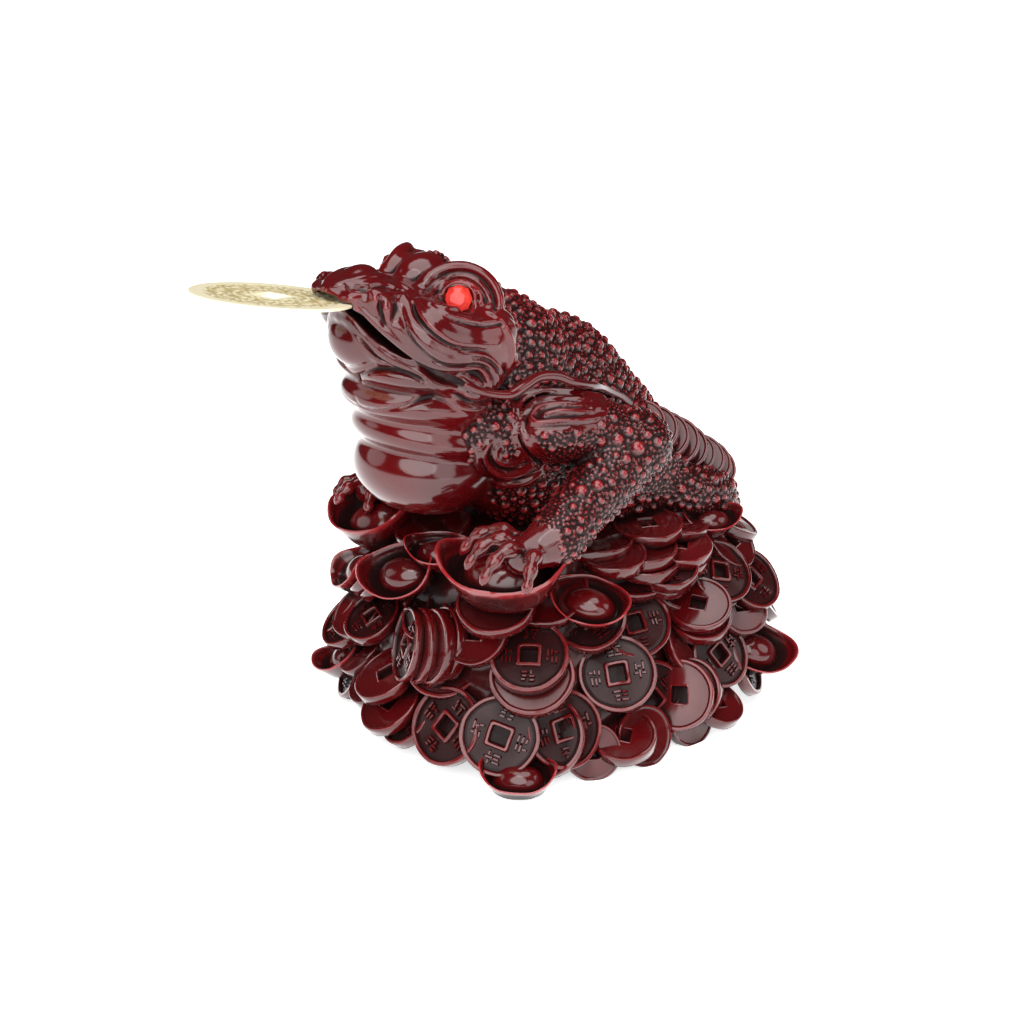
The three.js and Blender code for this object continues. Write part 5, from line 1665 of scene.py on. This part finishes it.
class TOAD_OT_body(bpy.types.Operator):
    """Carve the body, arms, single hind leg and toes"""

    bl_idname = "toad.body"
    bl_label = "Body"

    def execute(self, context):
        room, resin = shared()
        sizes = context.scene.toad_sizes
        small, large = sizes.ridge_warts / MM, sizes.arm_warts / MM
        clay, swirls, big_warts = body_clay()
        tree = tree_of(swirls)

        def size_at(p):
            x, y, z = np.abs(p[:, 0]), p[:, 1], p[:, 2]
            noise = random_of(p)
            arm = (x > ARM["from_x"]) & (y < ARM["to_y"])
            small_above = np.where(arm, ARM["small_above"], BACK["small_above"])
            large_above = np.where(arm, ARM["large_above"], BACK["large_above"])
            radius = np.where(noise > small_above, small, FINE_WART_SHARE * small)
            radius = np.where(noise > large_above, large, radius)
            front = (y < BARE_FRONT["before"]) & (x < BARE_FRONT["half"])
            hands = (y < BARE_TOES["before"]) & (z < BARE_TOES["below"])
            near = np.array([tree.find(q)[2] for q in p])
            bare = front | hands | (z < BARE_TOES["foot_below"]) | (near < SWIRL_CLEARANCE)
            return np.where(bare, 0.0, radius)

        piece = carved_piece("toad_body", clay, size_at, BODY_WART_SEED, room, big_warts)
        dressed(piece, resin, "resin", CASTING_NODE)
        return {"FINISHED"}


def cord_rings(points):
    """Rings round the line of a cord, drawn to a point at both of its ends."""
    line = smooth_line(points, CORD_POINT_COUNT)
    ahead = np.gradient(line, axis=0)
    ahead /= np.linalg.norm(ahead, axis=1, keepdims=True)
    side = np.cross(ahead, np.tile((0, 0, 1.0), (len(line), 1)))
    side /= np.linalg.norm(side, axis=1, keepdims=True)
    up = np.cross(side, ahead)
    radii = spread(CORD_RADII, len(line))
    rings = []
    for i, at in enumerate(line):
        ring = []
        for a in np.linspace(0, 2 * math.pi, CORD_SIDES, endpoint=False):
            r = radii[i] * (1 - CORD_FURROW * abs(math.cos(1.5 * a)))
            ring.append(at + side[i] * r * math.cos(a) + up[i] * CORD_HEIGHT * r * math.sin(a))
        rings.append(np.array(ring))
    first, last = (np.tile(ring.mean(0), (CORD_SIDES, 1)) for ring in (rings[0], rings[-1]))
    return [first] + rings + [last]


class TOAD_OT_cord(bpy.types.Operator):
    """Lay the cord over each shoulder, from the corner of the mouth to the string of coins"""

    bl_idname = "toad.cord"
    bl_label = "Cords"

    def execute(self, context):
        room, resin = shared()
        rings, faces = [], []
        count = 0
        for points in (CORD_POINTS, mirrored(CORD_POINTS)):
            made, quads = rings_mesh(cord_rings(points))
            rings.append(made)
            faces += [tuple(i + count for i in q) for q in quads]
            count += len(made)
        piece = closed_up(mesh_of("shoulder_cords", np.vstack(rings), faces))
        # painted shade where the cords lie against the body
        shaded(piece, room)
        dressed(piece, resin, "resin")
        return {"FINISHED"}


def closed_up(piece):
    """The piece with its doubled points merged and its faces turned outward."""
    work = bmesh.new()
    work.from_mesh(piece.data)
    bmesh.ops.remove_doubles(work, verts=work.verts, dist=1e-7)
    bmesh.ops.recalc_face_normals(work, faces=work.faces)
    work.to_mesh(piece.data)
    work.free()
    return piece


class TOAD_OT_coins(bpy.types.Operator):
    """Set the cast coins of the heap and the strings of coins"""

    bl_idname = "toad.coins"
    bl_label = "Coins"

    def execute(self, context):
        room, resin = shared()
        for name, places in (("heap_coins", coin_places()), ("coin_strings", string_places())):
            patterns = [coin_mesh(f"pattern_{i}", i < FRAMED_PATTERNS, i) for i in range(FRAMED_PATTERNS + 1)]
            rows = []
            for i, (matrix, radius, look) in enumerate(places):
                kind = i % FRAMED_PATTERNS if look == "framed" else FRAMED_PATTERNS
                rows.append((matrix, (radius, radius, 1 if name == "heap_coins" else STRING_THICKNESS), kind))
            cast(thinned(scattered(name, patterns, rows, resin), SKIN_TRIANGLES), room, resin)
        return {"FINISHED"}


def hand_made(piece):
    """The piece with the small unevenness of a casting."""
    p = points_of(piece)
    x, y, z = p.T
    (xa, xb, xc), (ya, yb), (za, zb, zc) = SWAY_WAVES
    sway = np.stack([np.sin(y * xa + xb * np.sin(z * xc)), np.sin(z * ya + x * yb),
                     np.sin(x * za + zb * np.sin(y * zc))], 1)
    first, second, third = RIPPLE_WAVES
    ripple = np.stack([np.sin(z * first + y), np.sin(x * second + z), np.sin(y * third + x)], 1)
    set_points(piece, p + CASTING_SWAY * sway + CASTING_RIPPLE * ripple)


def above_ground(piece):
    """What would reach under the ground is pressed flat onto it."""
    points = points_of(piece)
    points[:, 2] = np.maximum(points[:, 2], GROUND_CLEARANCE)
    set_points(piece, points)


def cast(piece, room, resin):
    """The scattered things as one casting: uneven, on the ground, with black paint and painted shade, and
    dressed.
    """
    hand_made(piece)
    above_ground(piece)
    shaded(piece, room, values_of(piece, "own"))
    dressed(piece, resin, "resin")


class TOAD_OT_ingots(bpy.types.Operator):
    """Set the ingots of the heap"""

    bl_idname = "toad.ingots"
    bl_label = "Ingots"

    def execute(self, context):
        room, resin = shared()
        rows = [(matrix, (radius,) * 3, 0) for matrix, radius in ingot_places()]
        cast(scattered("heap_ingots", [ingot_mesh("pattern_ingot")], rows, resin), room, resin)
        return {"FINISHED"}


class TOAD_OT_heap(bpy.types.Operator):
    """Shape the mass of the heap under its coins"""

    bl_idname = "toad.heap"
    bl_label = "Heap"

    def execute(self, context):
        room, resin = shared()
        rings = []
        a, b, c, d = HEAP_WAVES
        for level in range(HEAP_LEVELS):
            height = HEAP["top"] * level / (HEAP_LEVELS - 1)
            inset = np.interp(min(height, HEAP["foot_height"]), (0, HEAP["foot_height"]),
                              (HEAP["foot"], HEAP["inset"]))
            ring = []
            for s in range(HEAP_SIDES):
                bearing = 360 * s / HEAP_SIDES
                bump = HEAP["bump"] * math.sin(a * bearing + b * math.sin(height))
                bump *= math.sin(height * c + bearing * d)
                uneven = bump if height > HEAP["even_below"] else 0
                ring.append(heap_point(bearing, height, -inset + uneven))
            rings.append(np.array(ring))
        low = np.tile((0, HEAP["middle_y"], 0), (HEAP_SIDES, 1))
        high = np.tile((0, HEAP["middle_y"], HEAP["top"]), (HEAP_SIDES, 1))
        points, faces = rings_mesh([low] + rings + [high])
        points[:, 2] = np.maximum(points[:, 2], GROUND_CLEARANCE)
        piece = closed_up(mesh_of("heap_mass", points, faces))
        piece.data.set_sharp_from_angle(angle=math.radians(CAST_SHARP))
        # the heap's mass, seen only deep between the coins, gets black paint and painted shade all over
        shaded(piece, room, np.full(len(piece.data.vertices), HEAP_SHADE_AND_WASH))
        dressed(piece, resin, "resin")
        return {"FINISHED"}


def brass_relief(x, y, height):
    """Height of the brass coin's face at a place: a rim, a frame round the hole and a dense pattern."""
    r = math.hypot(x, y)
    outer = BRASS_DIAMETER / 2
    square = max(abs(x), abs(y))
    rim = smooth_step(outer - BRASS_RIM - BRASS_RIM_EDGE, outer - BRASS_RIM + BRASS_RIM_EDGE, r)
    border = smooth_step(BRASS_HOLE / 2 + BRASS_FRAME[0], BRASS_HOLE / 2 + BRASS_FRAME[1], square)
    (xa, xb, xc), (ya, yb, yc) = BRASS_WAVES
    wave = math.sin(xa * x + xb * math.sin(xc * y)) * math.sin(ya * y + yb * math.sin(yc * x))
    ring = 0.5 + 0.5 * math.cos(2 * math.pi * (r - BRASS_RINGS["start"]) / BRASS_RINGS["step"])
    stroke = smooth_step(*BRASS_STROKE, wave) * (BRASS_STROKE_RANGE[0] + BRASS_STROKE_RANGE[1] * ring)
    return height * (max(rim, border, BRASS_STROKE_HEIGHT * stroke) - 1)


def smooth_step(low, high, x):
    t = min(1, max(0, (x - low) / (high - low)))
    return t * t * (3 - 2 * t)


def brass_rings(relief):
    """Rings of the brass coin from its hole over face, edge and back to the hole, and the painted shade on
    them.
    """
    outer, half, hole = BRASS_DIAMETER / 2, BRASS_THICKNESS / 2, BRASS_HOLE / 2
    spin = math.radians(BRASS_PLACE["spin"])
    sheet = np.linspace(0, 1, BRASS_STEPS)
    rings, wash = [], []
    for t, side in [(t, 1) for t in sheet] + [(t, -1) for t in sheet[::-1]]:
        ring = []
        for s in range(BRASS_SIDES):
            a = 2 * math.pi * s / BRASS_SIDES
            inner = hole * squared(a)
            r = inner + (outer - BRASS_BEVEL - inner) * t
            x, y = r * math.cos(a), r * math.sin(a)
            drop = brass_relief(x, y, relief) if 0 < t < 1 else 0
            across, up = math.cos(spin), math.sin(spin)
            ring.append((x * across - y * up, x * up + y * across, side * (half + drop)))
            # painted shade, deeper where the relief is sunk further
            wash.append(-drop / relief)
        rings.append(ring)
        if t == 1 and side == 1:
            turns = [2 * math.pi * s / BRASS_SIDES + spin for s in range(BRASS_SIDES)]
            for z in (half - BRASS_BEVEL, BRASS_BEVEL - half):
                rings.append([(outer * math.cos(a), outer * math.sin(a), z) for a in turns])
                wash += [0.0] * BRASS_SIDES
    return rings + [rings[0]], wash + wash[:BRASS_SIDES]


class TOAD_OT_brass(bpy.types.Operator):
    """Make the loose brass coin with its rim, square hole and dense pattern"""

    bl_idname = "toad.brass"
    bl_label = "Brass coin"

    def execute(self, context):
        rings, wash = brass_rings(context.scene.toad_sizes.relief / MM)
        points, faces = rings_mesh(rings)
        piece = mesh_of("brass_coin_struck", points, faces)
        set_values(piece, "wash", wash)
        closed_up(piece)
        piece.data.transform(scaled_to_metres(face_matrix(BRASS_PLACE["at"], BRASS_PLACE["face"], (0, 1, 0))))
        piece.data.set_sharp_from_angle(angle=math.radians(BRASS_SHARP))
        colours = context.scene.toad_colours
        dressed(piece, brass_material(tuple(colours.brass)), "brass", BRASS_NODE)
        return {"FINISHED"}


def scaled_to_metres(matrix):
    made = matrix.copy()
    made.translation = matrix.translation * MM
    return made


class TOAD_OT_gems(bpy.types.Operator):
    """Give the gem eyes their cut stone finish"""

    bl_idname = "toad.gems"
    bl_label = "Gem eyes"

    def execute(self, context):
        material = gem_material(tuple(context.scene.toad_colours.gem))
        for name in GEM_NODES:
            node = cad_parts[name]
            node.data.materials.clear()
            node.data.materials.append(material)
        return {"FINISHED"}


class TOAD_OT_stage(bpy.types.Operator):
    """Set the floor, the lights and the camera"""

    bl_idname = "toad.stage"
    bl_label = "Stage"

    def execute(self, context):
        scene = context.scene
        corners = [(x * FLOOR_HALF, y * FLOOR_HALF, 0) for x, y in ((-1, -1), (1, -1), (1, 1), (-1, 1))]
        floor = mesh_of("floor", corners, ((0, 1, 2, 3),))
        floor.data.materials.append(floor_material(tuple(scene.toad_colours.floor)))
        world = bpy.data.worlds.new("studio")
        world.use_nodes = True
        background = world.node_tree.nodes["Background"]
        background.inputs["Color"].default_value = WHITE
        background.inputs["Strength"].default_value = WORLD_STRENGTH
        scene.world = world
        target = Vector(CAMERA["target"]) * MM
        for name, bearing, lift, distance, size, radiance in SOFTBOXES:
            way = bearing_vector(bearing, lift)
            for ring, share in enumerate(BOX_RINGS):
                light = bpy.data.lights.new(f"{name}_{ring}", "AREA")
                light.shape = "DISK"
                light.size = size * share
                light.energy = radiance / len(BOX_RINGS) * math.pi * light.size ** 2 * math.pi / 4
                lamp = bpy.data.objects.new(light.name, light)
                scene.collection.objects.link(lamp)
                lamp.location = target + way * distance
                lamp.rotation_euler = way.to_track_quat("Z", "Y").to_euler()
        data = bpy.data.cameras.new("camera")
        data.angle = math.radians(CAMERA["field"])
        camera = bpy.data.objects.new("camera", data)
        scene.collection.objects.link(camera)
        back = bearing_vector(CAMERA["azimuth"], CAMERA["elevation"])
        camera.location = target + back * (CAMERA["distance"] * MM)
        camera.rotation_euler = back.to_track_quat("Z", "Y").to_euler()
        scene.camera = camera
        scene.view_settings.view_transform = "Standard"
        return {"FINISHED"}


class TOAD_PT_panel(bpy.types.Panel):
    """Lists the pieces"""

    bl_idname = "TOAD_PT_panel"
    bl_label = "Money toad"
    bl_space_type = "VIEW_3D"
    bl_region_type = "UI"
    bl_category = "Toad"

    def draw(self, context):
        for group in (context.scene.toad_sizes, context.scene.toad_colours):
            for name in group.bl_rna.properties.keys():
                if name not in ("rna_type", "name"):
                    self.layout.prop(group, name)
        for operator in OPERATORS:
            self.layout.operator(operator.bl_idname)


OPERATORS = (TOAD_OT_stage, TOAD_OT_heap, TOAD_OT_coins, TOAD_OT_ingots, TOAD_OT_body, TOAD_OT_head,
             TOAD_OT_cord, TOAD_OT_brass, TOAD_OT_gems)
CLASSES = (ToadSizes, ToadColours, *OPERATORS, TOAD_PT_panel)


def register():
    for cls in CLASSES:
        bpy.utils.register_class(cls)
    bpy.types.Scene.toad_sizes = bpy.props.PointerProperty(type=ToadSizes)
    bpy.types.Scene.toad_colours = bpy.props.PointerProperty(type=ToadColours)


def unregister():
    del bpy.types.Scene.toad_colours
    del bpy.types.Scene.toad_sizes
    for cls in reversed(CLASSES):
        bpy.utils.unregister_class(cls)


def main():
    register()
    toad = bpy.ops.toad
    for step in (toad.stage, toad.heap, toad.coins, toad.ingots, toad.body, toad.head, toad.cord, toad.brass,
                 toad.gems):
        step()


if __name__ == "__main__":
    main()
